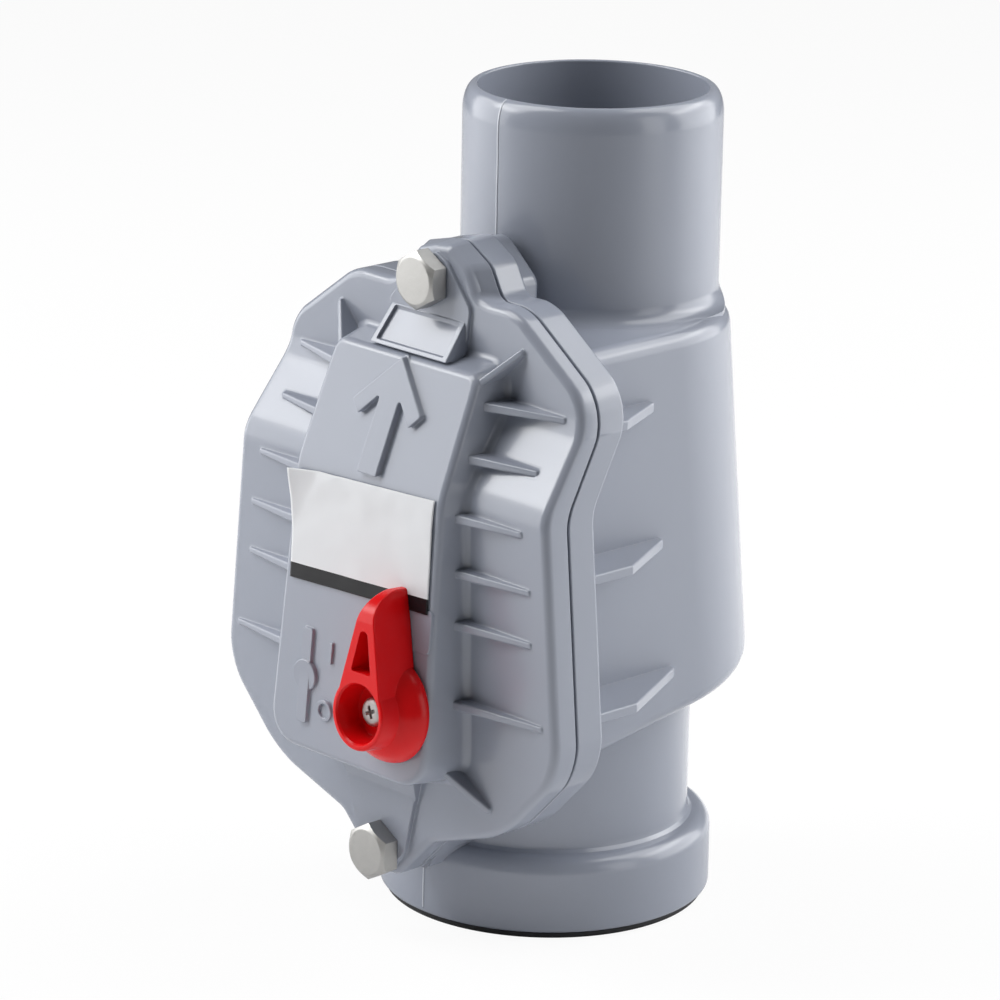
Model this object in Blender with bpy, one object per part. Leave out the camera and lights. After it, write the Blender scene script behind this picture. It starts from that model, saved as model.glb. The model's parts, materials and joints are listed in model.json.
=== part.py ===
"""Backwater valve for a DN 50 drain, with a bolted inspection cover and a lever that locks its flap.

Water enters at the socket below, lifts the flap and leaves at the spigot above. Water that comes
back pushes the flap onto its sloping seat. The lever turns a cam inside the cover: with the lever
up the flap swings freely, with the lever down the cam's pin stands under the flap's heel.

The design frame has Z on the socket's axis, with zero at the collar's lower face, and the cover
faces -Y. At the end the whole valve is placed with the middle of its base at the world's origin.
"""

import math

import bmesh
import bpy
from mathutils import Matrix, Vector

# Fits
CLEARANCE = 0.0003
RUNNING_GAP = 0.0004
ROUND_STEPS = 44
MERGE = 2e-6

# How far the cutting blocks reach, past every face of the valve
FAR_ACROSS = 0.06
FAR_FRONT = -0.09
FAR_BACK = 0.06
FAR_UP = 0.2

# Spigot, the plain pipe end on top
SPIGOT_RADIUS = 0.025
SPIGOT_WALL = 0.0028
SPIGOT_OFFSET = 0.0088
SPIGOT_END_ROUND = 0.0018
SPIGOT_FOOT_FILLET = 0.003
VALVE_HEIGHT = 0.1586

# Socket, the pipe end below, with its seal chamber
COLLAR_RADIUS = 0.0326
COLLAR_HEIGHT = 0.0118
COLLAR_SHOULDER = 0.0048
COLLAR_EDGE = 0.001
INLET_RADIUS = 0.028
PIPE_BORE_RADIUS = 0.0252
PIPE_STOP_HEIGHT = 0.033
PASSAGE_RADIUS = 0.0222
SEAL_CHAMBER_RADIUS = 0.030
SEAL_CHAMBER_DEPTH = 0.0095
SEAL_LIP_RADIUS = 0.0246
SEAL_FOOT_RADIUS = 0.0316
SEAL_FOOT_DROP = 0.0014

# Housing, U-shaped in plan, with a back wall that leans outwards on its way down
HOUSING_HALF_WIDTH = 0.033
HOUSING_WALL = 0.0028
HOUSING_TOP = 0.1173
HOUSING_TOP_ROUND = 0.003
BACK_CENTRE_TOP = 0.0
BACK_LEAN = 0.107
FLOOR_LEVEL = 0.040
FLOOR_SLOPE = 0.158
FLOOR_EDGE_ROUND = 0.0042
SEAT_RISE = 0.002
SEAT_RADIUS = 0.0255
SEAT_EDGE = 0.0005

# Flange and parting face, stepped forwards below a sloping stretch
PARTING_HIGH = -0.0280
PARTING_LOW = -0.0371
PARTING_SLOPE_TOP = 0.1050
PARTING_SLOPE_FOOT = 0.0906
PARTING_GAP = 0.0005
FLANGE_THICKNESS = 0.0066
SLOPE_BEND_RADIUS = 0.008
FLANGE_TOP = 0.1250
TOP_HALF_WIDTH = 0.0222
TOP_CORNER_ROUND = 0.010
SHOULDER_HALF_WIDTH = 0.0400
SHOULDER_LEVEL = 0.1122
SIDE_AT_SLOPE = 0.0412
SIDE_SLOPE_LEVEL = 0.1045
SIDE_SLOPE_ROUND = 0.006
SIDE_WIDEST = 0.0468
SIDE_WIDEST_LEVEL = 0.0425
SIDE_WIDEST_ROUND = 0.013
CHIN_HALF_WIDTH = 0.0318
CHIN_LEVEL = 0.0268
CHIN_ROUND = 0.030
FLANGE_FOOT = 0.0182
FOOT_HALF_WIDTH = 0.0060
FOOT_ROUND = 0.012
GASKET_INSET = 0.0036
GASKET_WIDTH = 0.0024
GASKET_DEPTH = 0.0016

# Cover
COVER_HIGH = -0.0326
COVER_LOW = -0.0431
COVER_SLOPE_TOP = 0.1060
COVER_SLOPE_FOOT = 0.0913
COVER_RIM_ROUND = 0.0016
COVER_WALL = 0.0028
PANEL_TOP = 0.1142
PANEL_FOOT = 0.0369
PANEL_TOP_HALF_WIDTH = 0.0199
PANEL_FOOT_HALF_WIDTH = 0.0227
PANEL_DRAFT = 0.0014
PANEL_EDGE = 0.0011
PANEL_BEND = 0.0906
PANEL_FRONT_AT_LEVER = -0.0523
PANEL_UPPER_SLOPE = 0.42
PANEL_LOWER_SLOPE = 0.098
COVER_RIB_THICKNESS = 0.0017
COVER_RIB_RISE = 0.0034
UPPER_RIB_EXTRA_RISE = 0.0012
COVER_RIBS = ((0.1073, 0.0365), (0.0979, 0.0358), (0.0874, 0.0368), (0.0768, 0.0390), (0.0667, 0.0397),
              (0.0512, 0.0428))
FIN_HALF_THICKNESS = 0.0006
FIN_SETBACK = 0.0008
UPPER_FIN_START = 0.0028
UPPER_FIN_TIP = (0.0256, 0.1176)
LOWER_FIN_START = 0.004
LOWER_FIN_TIP = (0.0295, 0.0318)
WEB_HALF_THICKNESS = 0.0007
WEB_TOP_X = 0.0108
WEB_FOOT_X = 0.0064
WEB_SETBACK = 0.003
PAD_HALF_WIDTH = 0.0102
PAD_WEB = 0.0012
PAD_RECESS = 0.0007
PAD_TOP = 0.1203

# Bolts, M6 with a hexagon head, and their captive nuts
BOLT_RADIUS = 0.003
BOLT_HEAD_FLATS = 0.010
BOLT_HEAD_HEIGHT = 0.0038
BOLT_CHAMFER = 0.0005
BOLT_TOP = 0.1272
BOLT_FOOT = 0.0163
UPPER_BOLT_LENGTH = 0.014
LOWER_BOLT_LENGTH = 0.013
BOSS_RISE = 0.0008
NUT_THICKNESS = 0.0045

# Body ribs, from the side walls to the back of the flange
BODY_RIB_THICKNESS = 0.002
BODY_RIBS = ((0.1058, 0.0405, -0.0073), (0.0788, 0.0430, -0.0039), (0.0530, 0.0452, 0.0002))
BODY_RIB_FLAT_END = -0.0200

# Flap and its hinge
HINGE_Y = -0.0315
HINGE_Z = 0.046
HINGE_PIN_RADIUS = 0.0015
HINGE_HEAD_RADIUS = 0.0026
HINGE_HEAD_LENGTH = 0.0012
CLIP_RADIUS = 0.0030
CLIP_THICKNESS = 0.0005
CLIP_GROOVE_DEPTH = 0.0004
BARREL_RADIUS = 0.0032
BARREL_HALF_LENGTH = 0.0192
EAR_THICKNESS = 0.0032
FLAP_RADIUS = 0.0263
FLAP_THICKNESS = 0.0026
FLAP_EDGE = 0.0005
FLAP_RIB_HEIGHT = 0.0013
FLAP_RIB_THICKNESS = 0.0016
FLAP_HUB_RADIUS = 0.0062
FLAP_SEAL_THICKNESS = 0.002
FLAP_SEAL_INNER_RADIUS = 0.0160
RETAINER_RADIUS = 0.0200
RETAINER_THICKNESS = 0.0014
HEEL_HALF_WIDTH = 0.0022
HEEL_THICKNESS = 0.0026

# Lever, its shaft and the locking cam
LEVER_X = 0.0127
LEVER_Z = 0.0497
LEVER_BASE_RADIUS = 0.0101
LEVER_RING_RADIUS = 0.0069
LEVER_CUP_RADIUS = 0.0057
LEVER_HEIGHT = 0.0096
LEVER_BASE_HEIGHT = 0.0048
LEVER_CUP_DEPTH = 0.0052
LEVER_TIP_REACH = 0.0236
LEVER_SHOULDER_REACH = 0.0178
LEVER_SHOULDER_WIDTH = 0.0048
LEVER_TIP_HEIGHT = 0.0012
WINDOW_FOOT = 0.0078
WINDOW_TOP = 0.0158
WINDOW_FOOT_HALF = 0.0026
WINDOW_TOP_HALF = 0.0012
SHAFT_RADIUS = 0.0049
SHAFT_BOSS_WALL = 0.0026
SHAFT_BOSS_LENGTH = 0.0052
SHAFT_SQUARE = 0.0052
SHAFT_SQUARE_DEPTH = 0.003
SCREW_HOLD = 0.0026
O_RING_SECTION = 0.0015
CAM_RADIUS = 0.0050
CAM_PIN_RADIUS = 0.0014
CAM_PIN_ENGAGEMENT = 0.0019
CAM_THICKNESS = 0.003
CAM_END_RADIUS = 0.0018
CAM_SQUARE = 0.0042
SCREW_RADIUS = 0.0012
SCREW_HEAD_RADIUS = 0.0028
SCREW_HEAD_HEIGHT = 0.0016

# Label, a sheet stuck on the panel, a little turned and with its upper edge on the bend
LABEL_WIDTH = 0.0385
LABEL_HEIGHT = 0.0205
LABEL_THICKNESS = 0.0003
LABEL_FOOT = 0.0692
LABEL_OFFSET = 0.0004
LABEL_TURN = math.radians(2.4)

FLOOR_ANGLE = math.atan(FLOOR_SLOPE)
PANEL_ANGLE = math.atan(PANEL_LOWER_SLOPE)
PANEL_FRONT_AT_BEND = PANEL_FRONT_AT_LEVER + PANEL_LOWER_SLOPE * (PANEL_BEND - LEVER_Z)
SPIGOT_BORE = SPIGOT_RADIUS - SPIGOT_WALL


def clear_scene():
    for obj in list(bpy.data.objects):
        bpy.data.objects.remove(obj, do_unlink=True)


def plastic(name, colour, roughness, metallic=0.0):
    """A Principled material with one colour, for a moulded, rubber or metal piece."""
    material = bpy.data.materials.new(name)
    material.use_nodes = True
    shader = material.node_tree.nodes["Principled BSDF"]
    shader.inputs["Base Color"].default_value = (*colour, 1.0)
    shader.inputs["Roughness"].default_value = roughness
    shader.inputs["Metallic"].default_value = metallic
    return material


# Outlines


def arc(centre, radius, start, end, steps):
    """Points on an arc in a plane, angles in radians, both ends included."""
    return [
        (centre[0] + radius * math.cos(start + (end - start) * i / steps),
         centre[1] + radius * math.sin(start + (end - start) * i / steps))
        for i in range(steps + 1)
    ]


def rounded(corners, steps=3):
    """A closed outline from corners (x, y, radius), each with a radius above zero turned into an arc."""
    outline = []
    for i, (x, y, radius) in enumerate(corners):
        here = Vector((x, y))
        before = Vector(corners[i - 1][:2]) - here
        after = Vector(corners[(i + 1) % len(corners)][:2]) - here
        if radius <= 0:
            outline.append((x, y))
            continue
        half = before.angle(after) / 2
        reach = min(radius / math.tan(half), 0.48 * before.length, 0.48 * after.length)
        radius = reach * math.tan(half)
        middle = here + (before.normalized() + after.normalized()).normalized() * (radius / math.sin(half))
        start = here + before.normalized() * reach - middle
        end = here + after.normalized() * reach - middle
        turn = start.angle_signed(end)
        for k in range(steps + 1):
            spoke = Matrix.Rotation(-turn * k / steps, 2) @ start
            outline.append(tuple(middle + spoke))
    return outline


def mirrored(right_side):
    """Corners on the right, from top to bottom, and their mirror images, as one closed outline."""
    return list(right_side) + [(-x, z, radius) for x, z, radius in reversed(right_side)]


def flange_corners(inset=0.0):
    """The right side of the cover's and the flange's outline, from top to foot, moved inwards by an inset."""
    return [
        (TOP_HALF_WIDTH - inset, FLANGE_TOP - inset * 1.2, TOP_CORNER_ROUND),
        (SHOULDER_HALF_WIDTH - inset, SHOULDER_LEVEL - inset * 0.6, TOP_CORNER_ROUND),
        (SIDE_AT_SLOPE - inset, SIDE_SLOPE_LEVEL, SIDE_SLOPE_ROUND),
        (SIDE_WIDEST - inset, SIDE_WIDEST_LEVEL + inset * 0.4, SIDE_WIDEST_ROUND),
        (CHIN_HALF_WIDTH - inset * 0.6, CHIN_LEVEL + inset, CHIN_ROUND),
        (FOOT_HALF_WIDTH, FLANGE_FOOT + inset * 1.5, FOOT_ROUND),
    ]


def upper_lug():
    return mirrored([(0.0052, BOLT_TOP + 0.0078, 0.004), (0.0124, BOLT_TOP + 0.0028, 0.004),
                     (0.0156, FLANGE_TOP - 0.004, 0)])


def lower_lug():
    return mirrored([(0.0105, FLANGE_FOOT + 0.004, 0), (0.0082, BOLT_FOOT - 0.0004, 0.003),
                     (0.0030, BOLT_FOOT - 0.0057, 0.003)])


def panel_corners(grow=0.0):
    return mirrored([(PANEL_TOP_HALF_WIDTH + grow, PANEL_TOP + grow, 0.0032),
                     (PANEL_FOOT_HALF_WIDTH + grow, PANEL_FOOT - grow, 0.0098)])


def panel_front(z):
    """The Y of the panel's face at height z."""
    if z > PANEL_BEND:
        return PANEL_FRONT_AT_BEND + PANEL_UPPER_SLOPE * (z - PANEL_BEND)
    return PANEL_FRONT_AT_BEND + PANEL_LOWER_SLOPE * (z - PANEL_BEND)


def cover_front(z):
    """The Y of the cover's flange face at height z."""
    share = (z - COVER_SLOPE_FOOT) / (COVER_SLOPE_TOP - COVER_SLOPE_FOOT)
    return COVER_LOW + (COVER_HIGH - COVER_LOW) * min(1.0, max(0.0, share))


# Solids as bmeshes


def prism(outline, low, high, place=None):
    """An outline extruded from low to high along its normal, then placed by a matrix."""
    bm = bmesh.new()
    face = bm.faces.new([bm.verts.new((x, y, low)) for x, y in outline])
    made = bmesh.ops.extrude_face_region(bm, geom=[face])["geom"]
    pushed = [v for v in made if isinstance(v, bmesh.types.BMVert)]
    bmesh.ops.translate(bm, vec=(0, 0, high - low), verts=pushed)
    if place is not None:
        bm.transform(place)
        bm.normal_update()
    bmesh.ops.recalc_face_normals(bm, faces=bm.faces)
    return bm


# An outline in X and Z is extruded along Y, and one in Y and Z along X
FACING_COVER = Matrix(((1, 0, 0, 0), (0, 0, 1, 0), (0, 1, 0, 0), (0, 0, 0, 1)))
FACING_SIDE = Matrix(((0, 0, 1, 0), (1, 0, 0, 0), (0, 1, 0, 0), (0, 0, 0, 1)))


def turned(profile, place=None, steps=ROUND_STEPS):
    """A closed profile of (radius, height) points, spun about Z."""
    bm = bmesh.new()
    ring = [bm.verts.new((radius, 0, height)) for radius, height in profile]
    edges = [bm.edges.new((ring[i - 1], ring[i])) for i in range(len(ring))]
    bmesh.ops.spin(bm, geom=ring + edges, cent=(0, 0, 0), axis=(0, 0, 1), angle=math.tau, steps=steps,
                   use_merge=True)
    bmesh.ops.remove_doubles(bm, verts=bm.verts, dist=1e-6)
    bmesh.ops.recalc_face_normals(bm, faces=bm.faces)
    if place is not None:
        bm.transform(place)
    return bm


def rod(radius, low, high, place=None, chamfer=0.0, steps=ROUND_STEPS):
    """A round bar along Z, with a chamfer at both ends."""
    profile = [(0, low), (radius - chamfer, low), (radius, low + chamfer), (radius, high - chamfer),
               (radius - chamfer, high), (0, high)]
    if chamfer == 0:
        profile = [(0, low), (radius, low), (radius, high), (0, high)]
    bm = bmesh.new()
    line = [bm.verts.new((r, 0, h)) for r, h in profile]
    edges = [bm.edges.new((line[i], line[i + 1])) for i in range(len(line) - 1)]
    bmesh.ops.spin(bm, geom=line + edges, cent=(0, 0, 0), axis=(0, 0, 1), angle=math.tau, steps=steps,
                   use_merge=True)
    bmesh.ops.remove_doubles(bm, verts=bm.verts, dist=1e-6)
    bmesh.ops.recalc_face_normals(bm, faces=bm.faces)
    if place is not None:
        bm.transform(place)
    return bm


def box(low, high):
    outline = [(low[0], low[1]), (high[0], low[1]), (high[0], high[1]), (low[0], high[1])]
    return prism(outline, low[2], high[2])


def soften(bm, width, segments, chosen):
    """Bevels the edges for which chosen(edge) is true."""
    edges = [edge for edge in bm.edges if chosen(edge)]
    bmesh.ops.bevel(bm, geom=edges, offset=width, offset_type="OFFSET", affect="EDGES", segments=segments,
                    profile=0.5, material=-1, clamp_overlap=True)
    bmesh.ops.recalc_face_normals(bm, faces=bm.faces)
    return bm


def object_from(bm, name):
    mesh = bpy.data.meshes.new(name)
    bm.to_mesh(mesh)
    bm.free()
    obj = bpy.data.objects.new(name, mesh)
    bpy.context.scene.collection.objects.link(obj)
    return obj


def combine(base, tools, operation):
    """Applies one Boolean for each tool to the object base, and removes the tools."""
    for tool in tools:
        helper = object_from(tool, "tool")
        modifier = base.modifiers.new("shape", "BOOLEAN")
        modifier.operation = operation
        modifier.object = helper
        modifier.solver = "EXACT"
        graph = bpy.context.evaluated_depsgraph_get()
        shaped = bmesh.new()
        shaped.from_object(base, graph)
        base.modifiers.clear()
        bmesh.ops.remove_doubles(shaped, verts=shaped.verts, dist=MERGE)
        bmesh.ops.dissolve_degenerate(shaped, edges=shaped.edges, dist=MERGE)
        shaped.to_mesh(base.data)
        shaped.free()
        bpy.data.objects.remove(helper, do_unlink=True)
    return base


def joined(base, *tools):
    return combine(base, tools, "UNION")


def cut(base, *tools):
    return combine(base, tools, "DIFFERENCE")


def kept(base, *tools):
    return combine(base, tools, "INTERSECT")


def finish(obj, name, material, parent, smooth=30):
    """Names the object, gives it its material and shading, and hangs it under its parent."""
    obj.name = name
    obj.data.name = name
    obj.data.materials.clear()
    obj.data.materials.append(material)
    obj.data.shade_smooth()
    obj.data.set_sharp_from_angle(angle=math.radians(smooth))
    obj.parent = parent
    obj.matrix_parent_inverse = parent.matrix_world.inverted()
    return obj


# Shapes that the body and the cover share


def stepped_slab(front, back, slope_tops, slope_feet):
    """A slab across X between two stepped faces, each given by (high Y, low Y), with soft bends."""
    bend = SLOPE_BEND_RADIUS
    profile = [
        (front[1], -FAR_UP, 0), (front[1], slope_feet[0], bend), (front[0], slope_tops[0], bend),
        (front[0], FAR_UP, 0), (back[0], FAR_UP, 0), (back[0], slope_tops[1], bend),
        (back[1], slope_feet[1], bend), (back[1], -FAR_UP, 0),
    ]
    if front[0] == front[1]:
        profile = [(front[0], -FAR_UP, 0), (front[0], FAR_UP, 0)] + profile[4:]
    if back[0] == back[1]:
        profile = profile[:-4] + [(back[0], FAR_UP, 0), (back[0], -FAR_UP, 0)]
    return prism(rounded(profile, 2), -FAR_ACROSS, FAR_ACROSS, FACING_SIDE)


def cover_outline_solid(front, back):
    """The cover's outline with both lugs, as a block along Y from front to back."""
    plate = object_from(prism(rounded(mirrored(flange_corners()), 4), front, back, FACING_COVER), "plate")
    return joined(plate, prism(rounded(upper_lug()), front, back, FACING_COVER),
                  prism(rounded(lower_lug()), front, back, FACING_COVER))


def u_section(half_width, front, centre, steps=14):
    """A U in plan: straight sides from the front, and a round back about the centre."""
    return [(-half_width, front)] + arc((0, centre), half_width, math.pi, 0, steps) + [(half_width, front)]


def housing_solid(inset, front, floor, top):
    """The leaning U-shaped box, cut along the sloping floor, which is given by its level at Y zero."""
    half_width = HOUSING_HALF_WIDTH - inset
    low = floor + FLOOR_SLOPE * front - 0.004
    bm = bmesh.new()
    rings = []
    for z in (low, top):
        centre = BACK_CENTRE_TOP + BACK_LEAN * (HOUSING_TOP - z)
        rings.append([bm.verts.new((x, y, z)) for x, y in u_section(half_width, front, centre)])
    count = len(rings[0])
    for i in range(count):
        k = (i + 1) % count
        bm.faces.new((rings[0][i], rings[0][k], rings[1][k], rings[1][i]))
    bm.faces.new(rings[0])
    bm.faces.new(rings[1])
    normal = Vector((0, -FLOOR_SLOPE, 1)).normalized()
    made = bmesh.ops.bisect_plane(bm, geom=bm.verts[:] + bm.edges[:] + bm.faces[:], plane_co=(0, 0, floor),
                                  plane_no=normal, clear_inner=True)
    rim = [e for e in made["geom_cut"] if isinstance(e, bmesh.types.BMEdge)]
    bmesh.ops.edgeloop_fill(bm, edges=rim)
    bmesh.ops.recalc_face_normals(bm, faces=bm.faces)
    return bm


def hexagon(flats):
    corner = flats / math.sqrt(3)
    return arc((0, 0), corner, 0, math.tau * 5 / 6, 5)


def facing_cover(x, y, z):
    """Places a shape's Z along -Y, at a point on the cover."""
    return Matrix.Translation((x, y, z)) @ Matrix.Rotation(math.radians(90), 4, "X")


def on_lever_axis():
    """Places a shape's Z along the lever's axis, outwards, with zero on the panel's face, and Y upwards."""
    foot = (LEVER_X, panel_front(LEVER_Z), LEVER_Z)
    return Matrix.Translation(foot) @ Matrix.Rotation(math.radians(90) - PANEL_ANGLE, 4, "X")


def on_hinge():
    """Places a flap shape: X along the hinge, Y along the closed flap, Z off the seat."""
    return Matrix.Translation((0, HINGE_Y, HINGE_Z)) @ Matrix.Rotation(FLOOR_ANGLE, 4, "X")


def across(place):
    """Turns a shape's Z to X inside another placing."""
    return place @ Matrix.Rotation(math.radians(90), 4, "Y")


# Body


def seat_level():
    """How far the seat's plane lies below the hinge, measured square to the seat."""
    seat_at_hinge = FLOOR_LEVEL + HOUSING_WALL + SEAT_RISE + FLOOR_SLOPE * HINGE_Y
    return (HINGE_Z - seat_at_hinge) * math.cos(FLOOR_ANGLE)


def flap_centre():
    """How far along the flap its middle lies from the hinge, over the passage's axis."""
    seat_at_axis = FLOOR_LEVEL + HOUSING_WALL + SEAT_RISE
    return -HINGE_Y * math.cos(FLOOR_ANGLE) + (seat_at_axis - HINGE_Z) * math.sin(FLOOR_ANGLE)


def outer_housing():
    """The housing's outside, with a rounded top rim and a rounded edge along the sloping floor."""
    bm = housing_solid(0, PARTING_LOW + 0.002, FLOOR_LEVEL, HOUSING_TOP)

    def runs_back(edge):
        return abs(edge.verts[0].co.y - edge.verts[1].co.y) > 1e-6

    def on_top(edge):
        return all(v.co.z > HOUSING_TOP - 1e-5 for v in edge.verts)

    def on_floor(edge):
        return all(abs(v.co.z - FLOOR_LEVEL - FLOOR_SLOPE * v.co.y) < 1e-5 for v in edge.verts)

    soften(bm, HOUSING_TOP_ROUND, 3, lambda e: on_top(e) and runs_back(e))
    return soften(bm, FLOOR_EDGE_ROUND, 3, lambda e: on_floor(e) and runs_back(e))


def make_body(material, parent):
    body = object_from(outer_housing(), "body")
    kept(body, box((-FAR_ACROSS, PARTING_LOW + 0.004, 0), (FAR_ACROSS, FAR_BACK, FAR_UP)))

    parting = (PARTING_HIGH, PARTING_LOW)
    tops = (PARTING_SLOPE_TOP, PARTING_SLOPE_TOP)
    feet = (PARTING_SLOPE_FOOT, PARTING_SLOPE_FOOT)
    flange = cover_outline_solid(FAR_FRONT, 0.0)
    flange_back = (PARTING_HIGH + FLANGE_THICKNESS, PARTING_LOW + FLANGE_THICKNESS)
    kept(flange, stepped_slab(parting, flange_back, tops, feet))
    # The stretch of the housing that would stand in front of the parting face is cut away
    cut(body, stepped_slab((FAR_FRONT, FAR_FRONT), parting, tops, feet))
    joined(body, mesh_of(flange))

    inside_foot = HOUSING_TOP - HOUSING_WALL
    end_centre = (SPIGOT_RADIUS - SPIGOT_END_ROUND, VALVE_HEIGHT - SPIGOT_END_ROUND)
    end = arc(end_centre, SPIGOT_END_ROUND, 0, math.pi / 2, 3)
    bore = SPIGOT_BORE - 0.001
    on_spigot = Matrix.Translation((0, SPIGOT_OFFSET, 0))
    spigot_profile = [(bore, inside_foot), (SPIGOT_RADIUS, inside_foot)] + end + [(bore, VALVE_HEIGHT)]
    spigot = turned(spigot_profile, on_spigot)
    shoulder = arc((COLLAR_RADIUS - COLLAR_SHOULDER, COLLAR_HEIGHT), COLLAR_SHOULDER, 0, math.pi / 2, 3)
    inlet_top = FLOOR_LEVEL + HOUSING_WALL / 2 + FLOOR_SLOPE * INLET_RADIUS
    inlet = rod(INLET_RADIUS, 0.001, inlet_top)
    collar_top = COLLAR_HEIGHT + COLLAR_SHOULDER
    core = COLLAR_RADIUS / 2
    collar = turned([(core, 0), (COLLAR_RADIUS - COLLAR_EDGE, 0), (COLLAR_RADIUS, COLLAR_EDGE)] + shoulder
                    + [(INLET_RADIUS - 0.001, collar_top), (core, collar_top)])
    joined(body, spigot, spigot_fillet(on_spigot), inlet, collar)

    upper_boss = rounded(mirrored([(0.0066, BOLT_TOP + 0.0060, 0.002), (0.0112, BOLT_TOP - 0.0006, 0.002),
                                   (0.0112, HOUSING_TOP - 0.004, 0)]))
    spigot_face = SPIGOT_OFFSET - SPIGOT_RADIUS + 0.004
    joined(body, prism(upper_boss, PARTING_HIGH + 0.001, spigot_face, FACING_COVER))
    lower_boss = rounded(mirrored([(0.0092, FLANGE_FOOT + 0.006, 0), (0.0080, BOLT_FOOT - 0.0004, 0.002),
                                   (0.0046, BOLT_FOOT - 0.0052, 0.002)]))
    joined(body, prism(lower_boss, PARTING_LOW + 0.001, -INLET_RADIUS + 0.0012, FACING_COVER))
    for level, outer, end_y in BODY_RIBS:
        back = (PARTING_HIGH if level > PARTING_SLOPE_TOP else PARTING_LOW) + FLANGE_THICKNESS - 0.001
        for side in (-1, 1):
            inner = HOUSING_HALF_WIDTH - 0.001
            plan = [(side * inner, back), (side * outer, back), (side * outer, BODY_RIB_FLAT_END),
                    (side * inner, end_y)]
            joined(body, prism(plan, level - BODY_RIB_THICKNESS, level))

    # Hollows: chamber, spigot bore, pipe socket, passage and seal chamber
    chamber = housing_solid(HOUSING_WALL, FAR_FRONT, FLOOR_LEVEL + HOUSING_WALL, HOUSING_TOP - HOUSING_WALL)
    cut(body, chamber, rod(SPIGOT_BORE, HOUSING_TOP - 0.02, FAR_UP, on_spigot))
    seat_depth = (SEAT_RISE + HOUSING_WALL) / 2
    seat_top = SEAT_RISE * math.cos(FLOOR_ANGLE)
    seat_place = Matrix.Translation((0, 0, FLOOR_LEVEL + HOUSING_WALL)) @ Matrix.Rotation(FLOOR_ANGLE, 4, "X")
    seat = turned([(PASSAGE_RADIUS - 0.001, -seat_depth), (SEAT_RADIUS, -seat_depth),
                   (SEAT_RADIUS, seat_top - SEAT_EDGE), (SEAT_RADIUS - SEAT_EDGE, seat_top),
                   (PASSAGE_RADIUS - 0.001, seat_top)], seat_place)
    joined(body, seat)
    for side in (-1, 1):
        joined(body, hinge_ear(side))
    cut(body, rod(PASSAGE_RADIUS, PIPE_STOP_HEIGHT - 0.001, HINGE_Z + 0.02),
        rod(PIPE_BORE_RADIUS, SEAL_CHAMBER_DEPTH - 0.001, PIPE_STOP_HEIGHT),
        rod(SEAL_CHAMBER_RADIUS, -0.01, SEAL_CHAMBER_DEPTH),
        rod(HINGE_PIN_RADIUS + CLEARANCE, -HOUSING_HALF_WIDTH * 0.85, HOUSING_HALF_WIDTH * 0.85,
            across(on_hinge()), steps=20))
    cut_gasket_groove(body)
    for level, start in ((BOLT_TOP, PARTING_HIGH), (BOLT_FOOT, PARTING_LOW)):
        place = facing_cover(0, start, level)
        pocket = hexagon(BOLT_HEAD_FLATS + 2 * CLEARANCE)
        cut(body, prism(pocket, -NUT_THICKNESS - 2 * CLEARANCE, NUT_THICKNESS, place),
            rod(BOLT_RADIUS + CLEARANCE, -bolt_depth(level) - CLEARANCE, NUT_THICKNESS, place, steps=24))
    return finish(body, "valve_body", material, parent)


def spigot_fillet(on_spigot):
    """The fillet round the spigot's foot, which ends where the housing's top ends."""
    outer = SPIGOT_RADIUS + SPIGOT_FOOT_FILLET
    corner = arc((outer, HOUSING_TOP + SPIGOT_FOOT_FILLET), SPIGOT_FOOT_FILLET, 1.5 * math.pi, math.pi, 3)
    low = HOUSING_TOP - 0.001
    ring = object_from(turned([(SPIGOT_BORE, low), (outer, low)] + corner
                              + [(SPIGOT_BORE, HOUSING_TOP + SPIGOT_FOOT_FILLET)], on_spigot), "fillet")
    top = u_section(HOUSING_HALF_WIDTH - HOUSING_TOP_ROUND * 0.4, PARTING_HIGH, BACK_CENTRE_TOP)
    kept(ring, prism(top, HOUSING_TOP - 0.002, VALVE_HEIGHT))
    return mesh_of(ring)


def bolt_depth(level):
    """How far a bolt reaches behind the parting face."""
    if level == BOLT_TOP:
        return UPPER_BOLT_LENGTH - (PARTING_HIGH - COVER_HIGH) - BOSS_RISE
    return LOWER_BOLT_LENGTH - (PARTING_LOW - COVER_LOW) - BOSS_RISE


def hinge_ear(side):
    """One of the two ears that stand on the floor and carry the hinge pin."""
    inner = BARREL_HALF_LENGTH + RUNNING_GAP
    foot = FLOOR_LEVEL + HOUSING_WALL + FLOOR_SLOPE * HINGE_Y - HINGE_Z - 0.001
    crown = arc((0, 0), BARREL_RADIUS, math.pi, 0, 6)
    outline = [(-BARREL_RADIUS, foot)] + crown + [(BARREL_RADIUS + 0.001, foot)]
    place = Matrix.Translation((0, HINGE_Y, HINGE_Z)) @ FACING_SIDE
    low, high = sorted((side * inner, side * (inner + EAR_THICKNESS)))
    return prism(outline, low, high, place)


def mesh_of(obj, keep=False):
    """An object's bmesh. The object goes, unless it is kept."""
    bm = bmesh.new()
    bm.from_mesh(obj.data)
    if not keep:
        bpy.data.objects.remove(obj, do_unlink=True)
    return bm


def gasket_ring(grow, front, back):
    """The ring that the gasket fills, following the stepped parting face from front to back of it."""
    outside = rounded(mirrored(flange_corners(GASKET_INSET - grow)), 3)
    inside = rounded(mirrored(flange_corners(GASKET_INSET + GASKET_WIDTH + grow)), 3)
    ring = object_from(prism(outside, FAR_FRONT / 2, 0.0, FACING_COVER), "ring")
    cut(ring, prism(inside, FAR_FRONT, FAR_BACK, FACING_COVER))
    return kept(ring, stepped_slab((PARTING_HIGH + front, PARTING_LOW + front),
                                   (PARTING_HIGH + back, PARTING_LOW + back),
                                   (PARTING_SLOPE_TOP, PARTING_SLOPE_TOP),
                                   (PARTING_SLOPE_FOOT, PARTING_SLOPE_FOOT)))


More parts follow.
